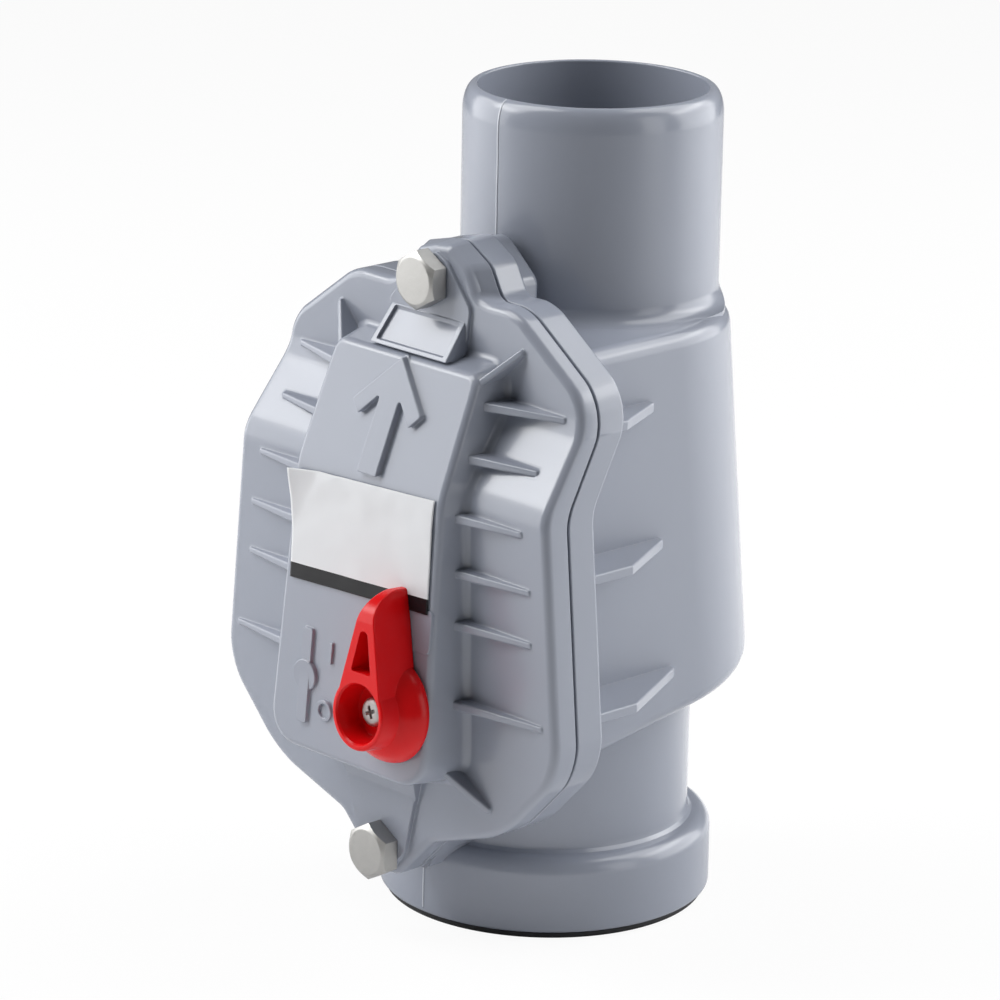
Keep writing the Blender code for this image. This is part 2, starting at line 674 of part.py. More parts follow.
def cut_gasket_groove(body):
    groove = gasket_ring(CLEARANCE, -FLANGE_THICKNESS, GASKET_DEPTH + CLEARANCE)
    cut(body, mesh_of(groove))


# Cover


def make_cover(material, parent):
    cover = cover_outline_solid(FAR_FRONT, 0.0)
    back = (PARTING_HIGH - PARTING_GAP, PARTING_LOW - PARTING_GAP)
    kept(cover, stepped_slab((COVER_HIGH, COVER_LOW), back, (COVER_SLOPE_TOP, PARTING_SLOPE_TOP),
                             (COVER_SLOPE_FOOT, PARTING_SLOPE_FOOT)))
    round_front_rim(cover)
    joined(cover, panel_block(0, PANEL_EDGE))
    joined(cover, bolt_face(BOLT_TOP), bolt_face(BOLT_FOOT), pad_block())
    for level, reach in COVER_RIBS:
        for side in (-1, 1):
            joined(cover, cover_rib(level, reach, side))
    for side in (-1, 1):
        joined(cover, corner_fin(side, PANEL_TOP - UPPER_FIN_START, UPPER_FIN_TIP),
               corner_fin(side, PANEL_FOOT + LOWER_FIN_START, LOWER_FIN_TIP), foot_web(side))
    sunk = PAD_HALF_WIDTH - PAD_WEB
    past = PAD_TOP - PANEL_TOP + FLANGE_THICKNESS
    cut(cover, prism([(-sunk, 0), (sunk, 0), (sunk, past), (-sunk, past)], -PAD_RECESS, past, pad_place()))
    tops = (PARTING_SLOPE_TOP, PARTING_SLOPE_TOP)
    feet = (PARTING_SLOPE_FOOT, PARTING_SLOPE_FOOT)
    cut(cover, stepped_slab(back, (0, 0), tops, feet))

    # Hollow behind the panel and the shallow recess behind the plate, both open to the back
    cut(cover, panel_block(COVER_WALL, 0, open_back=True))
    recess_half = HOUSING_HALF_WIDTH - HOUSING_WALL - 0.001
    recess_outline = rounded(mirrored([(recess_half, HOUSING_TOP - HOUSING_WALL - 0.001, 0.004),
                                       (recess_half, FLOOR_LEVEL, 0.004)]))
    recess = object_from(prism(recess_outline, FAR_FRONT, 0.0, FACING_COVER), "recess")
    kept(recess, stepped_slab((COVER_HIGH + COVER_WALL, COVER_LOW + COVER_WALL), (0.0, 0.0),
                              (COVER_SLOPE_TOP, COVER_SLOPE_TOP), (COVER_SLOPE_FOOT, COVER_SLOPE_FOOT)))
    cut(cover, mesh_of(recess))
    # Boss round the lever shaft, its bore, and the two bolt holes
    boss_radius = SHAFT_RADIUS + RUNNING_GAP + SHAFT_BOSS_WALL
    joined(cover, rod(boss_radius, -COVER_WALL - SHAFT_BOSS_LENGTH, -0.001, on_lever_axis()))
    through = -PANEL_FRONT_AT_LEVER
    cut(cover, rod(SHAFT_RADIUS + RUNNING_GAP, -through, through, on_lever_axis(), steps=40))
    for level, front in ((BOLT_TOP, COVER_HIGH), (BOLT_FOOT, COVER_LOW)):
        cut(cover, rod(BOLT_RADIUS + CLEARANCE, -through, through, facing_cover(0, front, level), steps=24))
    return finish(cover, "cover", material, parent)


def round_front_rim(cover):
    """Rounds the rim between the cover plate's front and its side wall."""
    bm = mesh_of(cover, keep=True)

    def faces_side(face):
        return abs(face.normal.y) < 0.01

    def in_front(edge):
        return sum((v.co.y < cover_middle(v.co.z)) for v in edge.verts) == 2

    soften(bm, COVER_RIM_ROUND, 2, lambda e: in_front(e) and len(e.link_faces) == 2
           and sum(faces_side(f) for f in e.link_faces) == 1)
    bm.to_mesh(cover.data)
    bm.free()


def cover_middle(z):
    """The Y half-way through the cover's plate at height z."""
    thickness = PARTING_LOW - PARTING_GAP - COVER_LOW
    return cover_front(z) + thickness / 2


def panel_block(inset, edge, open_back=False):
    """The raised panel, or with an inset the hollow behind it, with drafted sides and the bent face."""
    back = PARTING_HIGH - COVER_WALL / 2 if open_back else COVER_HIGH + 0.0015
    front = PANEL_FRONT_AT_LEVER - FLANGE_THICKNESS
    draft = PANEL_DRAFT
    bm = bmesh.new()
    rings = []
    for y, grow in ((front, -inset - draft * 0.6), (back, draft - inset)):
        outline = rounded(panel_corners(grow), 5)
        rings.append([bm.verts.new((x, y, z)) for x, z in outline])
    count = len(rings[0])
    for i in range(count):
        k = (i + 1) % count
        bm.faces.new((rings[0][i], rings[0][k], rings[1][k], rings[1][i]))
    bm.faces.new(rings[0])
    bm.faces.new(rings[1])
    for slope in (PANEL_UPPER_SLOPE, PANEL_LOWER_SLOPE):
        normal = Vector((0, 1, -slope)).normalized()
        point = Vector((0, PANEL_FRONT_AT_BEND, PANEL_BEND)) + normal * inset
        made = bmesh.ops.bisect_plane(bm, geom=bm.verts[:] + bm.edges[:] + bm.faces[:], plane_co=point,
                                      plane_no=normal, clear_inner=True)
        rim = [e for e in made["geom_cut"] if isinstance(e, bmesh.types.BMEdge)]
        bmesh.ops.edgeloop_fill(bm, edges=rim)
    bmesh.ops.recalc_face_normals(bm, faces=bm.faces)
    if edge:
        def on_face(v):
            return v.co.y < panel_front(v.co.z) + 1e-5
        soften(bm, edge, 2, lambda e: all(on_face(v) for v in e.verts)
               and sum(all(on_face(v) for v in f.verts) for f in e.link_faces) == 1)
    return bm


def bolt_face(level):
    """The raised face that a bolt head bears on."""
    if level == BOLT_TOP:
        front = COVER_HIGH
        outline = mirrored([(0.0030, BOLT_TOP + 0.0060, 0.003), (0.0112, BOLT_TOP - 0.0050, 0.002),
                            (0.0104, PAD_TOP - 0.0045, 0)])
    else:
        front = COVER_LOW
        outline = mirrored([(0.0100, PANEL_FOOT - 0.004, 0), (0.0064, BOLT_FOOT - 0.0010, 0.002),
                            (0.0026, BOLT_FOOT - 0.0045, 0.002)])
    return prism(rounded(outline), front - BOSS_RISE, front + 0.001, FACING_COVER)


def pad_place():
    """The sloping pad between the upper bolt and the panel: its plane rises from the panel to the lug."""
    foot = Vector((0, panel_front(PANEL_TOP) + 0.0002, PANEL_TOP))
    top = Vector((0, COVER_HIGH - BOSS_RISE, PAD_TOP))
    up = (top - foot).normalized()
    across_x = Vector((1, 0, 0))
    out = across_x.cross(up)
    return Matrix.Translation(foot) @ Matrix((across_x, up, out)).transposed().to_4x4()


def pad_block():
    foot_y = panel_front(PANEL_TOP) + 0.0002
    profile = [(COVER_HIGH - BOSS_RISE, PAD_TOP), (foot_y, PANEL_TOP), (foot_y, PANEL_TOP - 0.003),
               (COVER_HIGH + 0.001, PANEL_TOP - 0.003), (COVER_HIGH + 0.001, PAD_TOP)]
    return prism(profile, -PAD_HALF_WIDTH, PAD_HALF_WIDTH, FACING_SIDE)


def cover_rib(level, reach, side):
    """A wedge-shaped rib from the panel's side to the rim."""
    start = PANEL_TOP_HALF_WIDTH - 0.001
    face = cover_front(level)
    rise = COVER_RIB_RISE if level < COVER_SLOPE_FOOT else COVER_RIB_RISE + UPPER_RIB_EXTRA_RISE
    plan = [(side * start, face - rise), (side * reach, face - 0.0003), (side * reach, face + 0.002),
            (side * start, face + 0.002)]
    return prism(plan, level - COVER_RIB_THICKNESS / 2, level + COVER_RIB_THICKNESS / 2)


def upright_fin(start, tip, half_thickness, deep):
    """A thin fin between two crest points, with its foot at the depth given."""
    along = Vector((tip.x - start.x, 0, tip.z - start.z)).normalized()
    thick = Vector((-along.z, 0, along.x)) * half_thickness
    line = [start, tip, Vector((tip.x, deep, tip.z)), Vector((start.x, deep, start.z))]
    bm = bmesh.new()
    for sign in (-1, 1):
        bm.faces.new([bm.verts.new(point + thick * sign) for point in line])
    bm.verts.ensure_lookup_table()
    for i in range(4):
        k = (i + 1) % 4
        bm.faces.new((bm.verts[i], bm.verts[k], bm.verts[4 + k], bm.verts[4 + i]))
    bmesh.ops.recalc_face_normals(bm, faces=bm.faces)
    return bm


def corner_fin(side, level, tip):
    """A thin diagonal fin from a corner of the panel to the flange, its tip given by (X, Z)."""
    face = COVER_HIGH if tip[1] > COVER_SLOPE_TOP else COVER_LOW
    start = Vector((side * (PANEL_TOP_HALF_WIDTH - 0.002), panel_front(level) + FIN_SETBACK, level))
    end = Vector((side * tip[0], face - CLEARANCE, tip[1]))
    return upright_fin(start, end, FIN_HALF_THICKNESS, face + 0.001)


def foot_web(side):
    """A web from the panel's foot down to the lower bolt's lug."""
    start = Vector((side * WEB_TOP_X, panel_front(PANEL_FOOT) + WEB_SETBACK, PANEL_FOOT + 0.001))
    end = Vector((side * WEB_FOOT_X, COVER_LOW - BOSS_RISE - 0.0002, BOLT_FOOT + 0.003))
    return upright_fin(start, end, WEB_HALF_THICKNESS, COVER_LOW + 0.001)


# Fasteners


def make_bolt(name, level, front, length, material, parent):
    """A hexagon bolt whose head bears on the raised face, with its shank through the cover into the nut."""
    face = front - BOSS_RISE - CLEARANCE
    place = facing_cover(0, face, level)
    head = object_from(prism(hexagon(BOLT_HEAD_FLATS), 0, BOLT_HEAD_HEIGHT, place), name)
    corner = BOLT_HEAD_FLATS / math.sqrt(3)
    cone = [(0, -0.002), (corner + 0.001, -0.002), (corner + 0.001, BOLT_HEAD_HEIGHT - BOLT_CHAMFER * 1.6),
            (BOLT_HEAD_FLATS / 2 - 0.0002, BOLT_HEAD_HEIGHT), (0, BOLT_HEAD_HEIGHT)]
    kept(head, lathe(cone, place, 36))
    joined(head, rod(BOLT_RADIUS, -length, 0.001, place, BOLT_CHAMFER, 24))
    return finish(head, name, material, parent)


def lathe(profile, place, steps):
    """An open profile that starts and ends on the axis, spun about Z."""
    bm = bmesh.new()
    line = [bm.verts.new((r, 0, h)) for r, h in profile]
    edges = [bm.edges.new((line[i], line[i + 1])) for i in range(len(line) - 1)]
    bmesh.ops.spin(bm, geom=line + edges, cent=(0, 0, 0), axis=(0, 0, 1), angle=math.tau, steps=steps,
                   use_merge=True)
    bmesh.ops.remove_doubles(bm, verts=bm.verts, dist=1e-6)
    bmesh.ops.recalc_face_normals(bm, faces=bm.faces)
    bm.transform(place)
    return bm


def make_nut(name, level, start, material, parent):
    place = facing_cover(0, start, level)
    nut = object_from(prism(hexagon(BOLT_HEAD_FLATS), -NUT_THICKNESS - CLEARANCE, -CLEARANCE, place), name)
    cut(nut, rod(BOLT_RADIUS + CLEARANCE, -0.02, 0.01, place, 0, 24))
    return finish(nut, name, material, parent)


# Flap


def make_flap(material, parent):
    """The flap: disc, web to the hinge barrel, stiffening ribs and the heel that the cam's pin can stop."""
    middle = flap_centre()
    under = -seat_level() + CLEARANCE + FLAP_SEAL_THICKNESS + CLEARANCE
    top = under + FLAP_THICKNESS
    crest = top + FLAP_RIB_HEIGHT
    on_disc = Matrix.Translation((0, middle, 0))
    disc = [(0, under), (FLAP_RADIUS, under), (FLAP_RADIUS, top - FLAP_EDGE), (FLAP_RADIUS - FLAP_EDGE, top),
            (0, top)]
    flap = object_from(lathe(disc, on_disc, ROUND_STEPS), "flap")
    half_barrel = BARREL_HALF_LENGTH
    web_end = middle - FLAP_RADIUS * 0.72
    web_half = FLAP_RADIUS * 0.63
    web = [(-half_barrel, 0), (half_barrel, 0), (half_barrel, 0.006), (web_half, web_end),
           (-web_half, web_end), (-half_barrel, 0.006)]
    joined(flap, prism(web, under + 0.0002, top - 0.0002),
           rod(BARREL_RADIUS, -half_barrel, half_barrel, across(Matrix.Identity(4)), 0, 28))
    rib_end = FLAP_RADIUS - 0.002
    sunk = top - FLAP_EDGE
    for k in range(3):
        rib = box((-FLAP_RIB_THICKNESS / 2, -rib_end, sunk), (FLAP_RIB_THICKNESS / 2, rib_end, crest))
        joined(flap, transformed(rib, on_disc @ Matrix.Rotation(math.radians(60 * k), 4, "Z")))
    hub = [(0, sunk), (FLAP_HUB_RADIUS, sunk), (FLAP_HUB_RADIUS, crest), (0, crest)]
    joined(flap, lathe(hub, on_disc, 24))
    cut(flap, rod(SCREW_RADIUS + CLEARANCE, -0.02, 0.02, on_disc, 0, 20))
    flap.data.transform(on_hinge())
    joined(flap, heel_block())
    cut(flap, rod(HINGE_PIN_RADIUS + CLEARANCE, -0.03, 0.03, across(on_hinge()), 0, 20))
    return finish(flap, "flap", material, parent)


def transformed(bm, matrix):
    bm.transform(matrix)
    return bm


def cam_axis_at_heel():
    """Height of the lever's axis where the heel ends, because the axis dips inwards with the panel."""
    return LEVER_Z - PANEL_LOWER_SLOPE * ((HINGE_Y + heel_front()) / 2 - panel_front(LEVER_Z))


def heel_front():
    """The Y of the heel's end, a small gap behind the head of the cam's screw."""
    depth = -cam_screw_seat() + SCREW_HEAD_HEIGHT
    tilt = SCREW_HEAD_RADIUS * math.sin(PANEL_ANGLE)
    return panel_front(LEVER_Z) + depth * math.cos(PANEL_ANGLE) + tilt + CLEARANCE


def heel_block():
    """The heel, level at rest, with a rounded underside that the cam's pin passes below."""
    clear = CAM_RADIUS - CAM_PIN_RADIUS - RUNNING_GAP
    axis_z = cam_axis_at_heel()
    half = HEEL_HALF_WIDTH
    start = math.asin(half / clear)
    bottom = arc((LEVER_X, axis_z), clear, -math.pi / 2 + start, -math.pi / 2 - start, 6)
    crest = HINGE_Z + HEEL_THICKNESS / 2
    outline = [(LEVER_X - half, crest), (LEVER_X + half, crest)] + bottom
    return prism(outline, heel_front(), HINGE_Y, FACING_COVER)


def make_flap_seal(material, parent):
    low = -seat_level() + CLEARANCE
    place = on_hinge() @ Matrix.Translation((0, flap_centre(), 0))
    top = low + FLAP_SEAL_THICKNESS
    ring = turned([(FLAP_SEAL_INNER_RADIUS, low), (SEAT_RADIUS, low), (SEAT_RADIUS + 0.0003, low + 0.0006),
                   (SEAT_RADIUS, top), (FLAP_SEAL_INNER_RADIUS, top)], place, 36)
    return finish(object_from(ring, "flap_seal"), "flap_seal", material, parent)


def make_flap_retainer(material, parent):
    """The disc that clamps the flap's seal from below, with a hub through the seal."""
    low = -seat_level() + CLEARANCE
    hub_top = low + FLAP_SEAL_THICKNESS
    place = on_hinge() @ Matrix.Translation((0, flap_centre(), 0))
    hub = FLAP_SEAL_INNER_RADIUS - CLEARANCE
    under = low - CLEARANCE
    foot = under - RETAINER_THICKNESS
    bore = SCREW_RADIUS + CLEARANCE
    profile = [(bore, foot), (RETAINER_RADIUS - FLAP_EDGE, foot), (RETAINER_RADIUS, foot + FLAP_EDGE),
               (RETAINER_RADIUS, under), (hub, under), (hub, hub_top), (bore, hub_top)]
    return finish(object_from(turned(profile, place, 36), "retainer"), "flap_retainer", material, parent)


def make_flap_screw(material, parent):
    """The screw through the flap, its seal and the retainer, with its head on top."""
    under = -seat_level() + 2 * CLEARANCE + FLAP_SEAL_THICKNESS
    top = under + FLAP_THICKNESS + FLAP_RIB_HEIGHT + CLEARANCE
    foot = -seat_level() - RETAINER_THICKNESS
    place = on_hinge() @ Matrix.Translation((0, flap_centre(), top))
    return pan_screw("flap_screw", place, top - foot, material, parent)


def make_hinge_pin(material, parent):
    place = across(Matrix.Translation((0, HINGE_Y, HINGE_Z)))
    outer = BARREL_HALF_LENGTH + RUNNING_GAP + EAR_THICKNESS + CLEARANCE
    head = -outer - HINGE_HEAD_LENGTH
    groove_end = outer + CLIP_THICKNESS + 0.0002
    groove = HINGE_PIN_RADIUS - CLIP_GROOVE_DEPTH
    profile = [(0, head), (HINGE_HEAD_RADIUS, head), (HINGE_HEAD_RADIUS, -outer), (HINGE_PIN_RADIUS, -outer),
               (HINGE_PIN_RADIUS, outer), (groove, outer), (groove, groove_end), (HINGE_PIN_RADIUS, groove_end),
               (HINGE_PIN_RADIUS, groove_end + 0.001), (0, groove_end + 0.001)]
    return finish(object_from(lathe(profile, place, 16), "hinge_pin"), "hinge_pin", material, parent)


def make_hinge_clip(material, parent):
    """A snap ring in the pin's groove, open on one side."""
    place = across(Matrix.Translation((0, HINGE_Y, HINGE_Z)))
    low = BARREL_HALF_LENGTH + RUNNING_GAP + EAR_THICKNESS + CLEARANCE + 0.0001
    inner = HINGE_PIN_RADIUS - CLIP_GROOVE_DEPTH / 2
    mouth = math.radians(35)
    outside = arc((0, 0), CLIP_RADIUS, mouth, math.tau - mouth, 16)
    inside = arc((0, 0), inner, math.tau - mouth, mouth, 16)
    clip = object_from(prism(outside + inside, low, low + CLIP_THICKNESS, place), "hinge_clip")
    return finish(clip, "hinge_clip", material, parent)


# Lever and cam


def make_lever(material, parent):
    """The lever: a round base, a raised cup for its screw and a pointer with a slot."""
    low = RUNNING_GAP
    base = [(0, low), (LEVER_BASE_RADIUS - 0.0006, low), (LEVER_BASE_RADIUS, low + 0.0006),
            (LEVER_BASE_RADIUS - 0.0006, low + 0.0012),
            (LEVER_RING_RADIUS + 0.0012, LEVER_BASE_HEIGHT - 0.0016),
            (LEVER_RING_RADIUS + 0.0004, LEVER_BASE_HEIGHT), (0, LEVER_BASE_HEIGHT)]
    lever = object_from(lathe(base, Matrix.Identity(4), 40), "lever")
    ring = [(0, 0.002), (LEVER_RING_RADIUS + 0.0004, 0.002), (LEVER_RING_RADIUS, LEVER_HEIGHT - 0.0006),
            (LEVER_RING_RADIUS - 0.0006, LEVER_HEIGHT), (0, LEVER_HEIGHT)]
    joined(lever, lathe(ring, Matrix.Identity(4), 40), pointer_block())
    cup_floor = LEVER_HEIGHT - LEVER_CUP_DEPTH
    above = LEVER_HEIGHT + 0.001
    cup = [(0, cup_floor), (LEVER_CUP_RADIUS - 0.0006, cup_floor), (LEVER_CUP_RADIUS, above), (0, above)]
    cut(lever, lathe(cup, Matrix.Identity(4), 32), window_cut())
    square = SHAFT_SQUARE / 2 + CLEARANCE
    cut(lever, box((-square, -square, -0.001), (square, square, SHAFT_SQUARE_DEPTH)),
        rod(SCREW_RADIUS + CLEARANCE, -0.001, LEVER_HEIGHT, None, 0, 20))
    lever.data.transform(on_lever_axis())
    return finish(lever, "lever", material, parent)


def pointer_block():
    """The pointer: a tapering fin whose crest curves down from the shoulder to the tip."""
    wide = LEVER_RING_RADIUS - 0.0002
    narrow = LEVER_SHOULDER_WIDTH / 2
    tip = 0.0005
    outline = [(-wide, tip), (wide, tip), (narrow, LEVER_SHOULDER_REACH), (tip, LEVER_TIP_REACH),
               (-tip, LEVER_TIP_REACH), (-narrow, LEVER_SHOULDER_REACH)]
    fin = object_from(prism(outline, RUNNING_GAP + 0.0004, LEVER_HEIGHT + 0.002), "fin")
    drop = LEVER_HEIGHT - LEVER_TIP_HEIGHT
    run = LEVER_TIP_REACH - LEVER_SHOULDER_REACH
    crest = [(LEVER_SHOULDER_REACH + run * math.sin(t), LEVER_TIP_HEIGHT + drop * math.cos(t))
             for t in (math.radians(15 * i) for i in range(6))]
    past = LEVER_TIP_REACH + 0.001
    profile = [(0, 0), (0, LEVER_HEIGHT)] + crest + [(past, LEVER_TIP_HEIGHT), (past, 0)]
    kept(fin, prism(profile, -LEVER_BASE_RADIUS, LEVER_BASE_RADIUS, FACING_SIDE))
    return mesh_of(fin)


def window_cut():
    """The tapering slot in the pointer's front."""
    foot, top = WINDOW_FOOT, WINDOW_TOP
    outline = rounded([(-WINDOW_FOOT_HALF, foot, 0.0004), (WINDOW_FOOT_HALF, foot, 0.0004),
                       (WINDOW_TOP_HALF, top, 0.001), (-WINDOW_TOP_HALF, top, 0.001)])
    return prism(outline, LEVER_HEIGHT - LEVER_CUP_DEPTH, LEVER_HEIGHT + 0.002)


def shaft_inner_end():
    """How far the shaft reaches inwards from the panel's face, to the cam's seat."""
    return -COVER_WALL - SHAFT_BOSS_LENGTH - RUNNING_GAP


def make_lever_shaft(material, parent):
    place = on_lever_axis()
    low = shaft_inner_end()
    groove = SHAFT_RADIUS + RUNNING_GAP - CLEARANCE - O_RING_SECTION - CLEARANCE
    width = O_RING_SECTION + 2 * CLEARANCE
    first, second = o_ring_levels()
    profile = [(0, low), (SHAFT_RADIUS, low)]
    for level in (second, first):
        profile += [(SHAFT_RADIUS, level - width / 2), (groove, level - width / 2), (groove, level + width / 2),
                    (SHAFT_RADIUS, level + width / 2)]
    profile += [(SHAFT_RADIUS, 0.0), (0, 0.0)]
    shaft = object_from(lathe(profile, Matrix.Identity(4), 28), "shaft")
    half = SHAFT_SQUARE / 2
    cam_half = CAM_SQUARE / 2
    pilot = SCREW_RADIUS + CLEARANCE
    joined(shaft, box((-half, -half, -0.001), (half, half, SHAFT_SQUARE_DEPTH - CLEARANCE)),
           box((-cam_half, -cam_half, low - CAM_THICKNESS), (cam_half, cam_half, low + 0.001)))
    cut(shaft, rod(pilot, -SCREW_HOLD - CLEARANCE, 0.01, None, 0, 16),
        rod(pilot, low - 0.01, low + SCREW_HOLD + CLEARANCE - CAM_THICKNESS, None, 0, 16))
    shaft.data.transform(place)
    return finish(shaft, "lever_shaft", material, parent)


def o_ring_levels():
    """Where the two O-rings sit along the shaft, outer one first."""
    span = COVER_WALL + SHAFT_BOSS_LENGTH
    return -span * 0.3, -span * 0.7


def make_o_ring(name, level, material, parent):
    middle = SHAFT_RADIUS + RUNNING_GAP - CLEARANCE - O_RING_SECTION / 2
    ring = turned([(middle + O_RING_SECTION / 2 * math.cos(t), level + O_RING_SECTION / 2 * math.sin(t))
                   for t in (math.tau * i / 6 for i in range(6))], on_lever_axis(), 24)
    return finish(object_from(ring, name), name, material, parent)


def cam_pin_length():
    """The length that takes the pin under the flap's heel by its engagement."""
    end = (heel_front() + CAM_PIN_ENGAGEMENT - panel_front(LEVER_Z)) / math.cos(PANEL_ANGLE)
    return end + shaft_inner_end() - CLEARANCE - CAM_THICKNESS


def make_cam(material, parent):
    """The crank on the shaft's inner end. Its pin points further inwards, up when the lever is up."""
    place = on_lever_axis()
    top = shaft_inner_end() - CLEARANCE
    low = top - CAM_THICKNESS
    hub = CAM_SQUARE * 0.7 + 0.0014
    outline = arc((0, 0), hub, math.pi, math.tau, 12) + arc((0, CAM_RADIUS), CAM_END_RADIUS, 0, math.pi, 8)
    cam = object_from(prism(outline, low, top), "cam")
    at_pin = Matrix.Translation((0, CAM_RADIUS, 0))
    joined(cam, rod(CAM_PIN_RADIUS, low - cam_pin_length(), low + 0.001, at_pin, 0.0003, 20))
    square = CAM_SQUARE / 2 + CLEARANCE
    cut(cam, box((-square, -square, low - 0.001), (square, square, top + 0.001)))
    cam.data.transform(place)
    return finish(cam, "locking_cam", material, parent)


def pan_screw(name, place, length, material, parent):
    """A small pan-head screw along Z, its head's underside at zero."""
    shank, head, height = SCREW_RADIUS, SCREW_HEAD_RADIUS, SCREW_HEAD_HEIGHT
    profile = [(0, -length), (shank * 0.7, -length), (shank, -length + shank * 0.3), (shank, 0), (head, 0),
               (head, height * 0.45), (head * 0.75, height * 0.9), (head * 0.35, height), (0, height)]
    return finish(object_from(lathe(profile, place, 16), name), name, material, parent)


def make_lever_screw(material, parent):
    seat = LEVER_HEIGHT - LEVER_CUP_DEPTH + CLEARANCE
    place = on_lever_axis() @ Matrix.Translation((0, 0, seat))
    return pan_screw("lever_screw", place, seat + SCREW_HOLD, material, parent)


def cam_screw_seat():
    """The level of the cam screw's seat along the lever's axis, on the cam's inner face."""
    return shaft_inner_end() - CLEARANCE - CAM_THICKNESS - CLEARANCE


def make_cam_screw(material, parent):
    place = on_lever_axis() @ Matrix.Translation((0, 0, cam_screw_seat())) @ Matrix.Rotation(math.pi, 4, "X")
    return pan_screw("cam_screw", place, 2 * CLEARANCE + SCREW_HOLD, material, parent)


# Seals and label


def make_cover_gasket(material, parent):
    return finish(gasket_ring(0, CLEARANCE - PARTING_GAP, GASKET_DEPTH), "cover_gasket", material, parent)


def make_socket_seal(material, parent):
    """A lip seal in the collar's chamber, with a foot below the collar that the valve stands on."""
    outer = SEAL_CHAMBER_RADIUS - CLEARANCE
    top = SEAL_CHAMBER_DEPTH - CLEARANCE
    foot = -SEAL_FOOT_DROP
    profile = [
        (SEAL_LIP_RADIUS + 0.0018, foot), (SEAL_FOOT_RADIUS - 0.0004, foot),
        (SEAL_FOOT_RADIUS, foot + 0.0004),
        (SEAL_FOOT_RADIUS, -CLEARANCE), (outer, -CLEARANCE), (outer, top), (outer - 0.0016, top),
        (outer - 0.0020, top * 0.55), (SEAL_LIP_RADIUS, top * 0.72), (SEAL_LIP_RADIUS, top * 0.60),
        (SEAL_LIP_RADIUS + 0.0020, top * 0.22),
    ]
    return finish(object_from(turned(profile, steps=40), "socket_seal"), "socket_seal", material, parent)


def make_label(material, parent):
    """A thin sheet on the lower face of the panel."""
    tilt = Matrix.Rotation(math.radians(90) - PANEL_ANGLE, 4, "X")
    foot = Matrix.Translation((LABEL_OFFSET, panel_front(LABEL_FOOT), LABEL_FOOT))
    place = foot @ tilt @ Matrix.Rotation(LABEL_TURN, 4, "Z")
    half = LABEL_WIDTH / 2
    sheet = box((-half, 0, CLEARANCE), (half, LABEL_HEIGHT, CLEARANCE + LABEL_THICKNESS))
    return finish(object_from(transformed(sheet, place), "label"), "label", material, parent)


def group(name, location):
    """An empty that carries the pieces of one moving body, on its joint's axis."""
    empty = bpy.data.objects.new(name, None)
    bpy.context.scene.collection.objects.link(empty)
    empty.location = location
    bpy.context.view_layer.update()
    return empty


def stand_on_origin(root):
    """Shifts the whole valve so that the middle of its box's base is the origin."""
    bpy.context.view_layer.update()
    pieces = [obj for obj in bpy.data.objects if obj.type == "MESH"]
    corners = [obj.matrix_world @ Vector(corner) for obj in pieces for corner in obj.bound_box]
    low = Vector(min(c[i] for c in corners) for i in range(3))
    high = Vector(max(c[i] for c in corners) for i in range(3))
    root.location = (-(low.x + high.x) / 2, -(low.y + high.y) / 2, -low.z)


def main():
    clear_scene()
    grey = plastic("grey_abs", (0.35, 0.37, 0.41), 0.35)
    red = plastic("red_plastic", (0.75, 0.02, 0.03), 0.3)
    black_plastic = plastic("black_plastic", (0.05, 0.05, 0.055), 0.45)
    rubber = plastic("black_rubber", (0.02, 0.02, 0.022), 0.7)
    steel = plastic("stainless_steel", (0.72, 0.70, 0.66), 0.28, 1.0)
    paper = plastic("label_film", (0.88, 0.88, 0.88), 0.4)

    root = group("valve", (0, 0, 0))
    axis_point = (LEVER_X, panel_front(LEVER_Z), LEVER_Z)
    lever_group = group("lever_axis", axis_point)
    flap_group = group("flap_axis", (0, HINGE_Y, HINGE_Z))
    lever_group.parent = root
    flap_group.parent = root
    bpy.context.view_layer.update()

    make_body(grey, root)
    make_cover(grey, root)
    make_cover_gasket(rubber, root)
    make_bolt("upper_bolt", BOLT_TOP, COVER_HIGH, UPPER_BOLT_LENGTH, steel, root)
    make_bolt("lower_bolt", BOLT_FOOT, COVER_LOW, LOWER_BOLT_LENGTH, steel, root)
    make_nut("upper_nut", BOLT_TOP, PARTING_HIGH, steel, root)
    make_nut("lower_nut", BOLT_FOOT, PARTING_LOW, steel, root)
    make_hinge_pin(steel, root)
    make_hinge_clip(steel, root)
    make_socket_seal(rubber, root)
    make_label(paper, root)

    make_flap(black_plastic, flap_group)
    make_flap_seal(rubber, flap_group)
    make_flap_retainer(black_plastic, flap_group)
    make_flap_screw(steel, flap_group)

    make_lever(red, lever_group)
    make_lever_screw(steel, lever_group)
    make_lever_shaft(black_plastic, lever_group)
    outer_level, inner_level = o_ring_levels()
    make_o_ring("outer_o_ring", outer_level, rubber, lever_group)
    make_o_ring("inner_o_ring", inner_level, rubber, lever_group)
    make_cam(black_plastic, lever_group)
    make_cam_screw(steel, lever_group)
    stand_on_origin(root)


main()
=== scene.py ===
# %% [markdown]
# A backwater valve keeps a flooded sewer from flowing back into a cellar drain. This one is moulded
# in grey plastic: a body with a pipe socket below and a plain spigot above, and a cover held by two
# steel bolts. A red lever on the cover locks the flap inside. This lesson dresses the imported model
# of that valve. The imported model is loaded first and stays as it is: every piece made below rides
# on one of its bodies.

import json
import math

import bmesh
import bpy
from mathutils import Matrix, Vector, noise

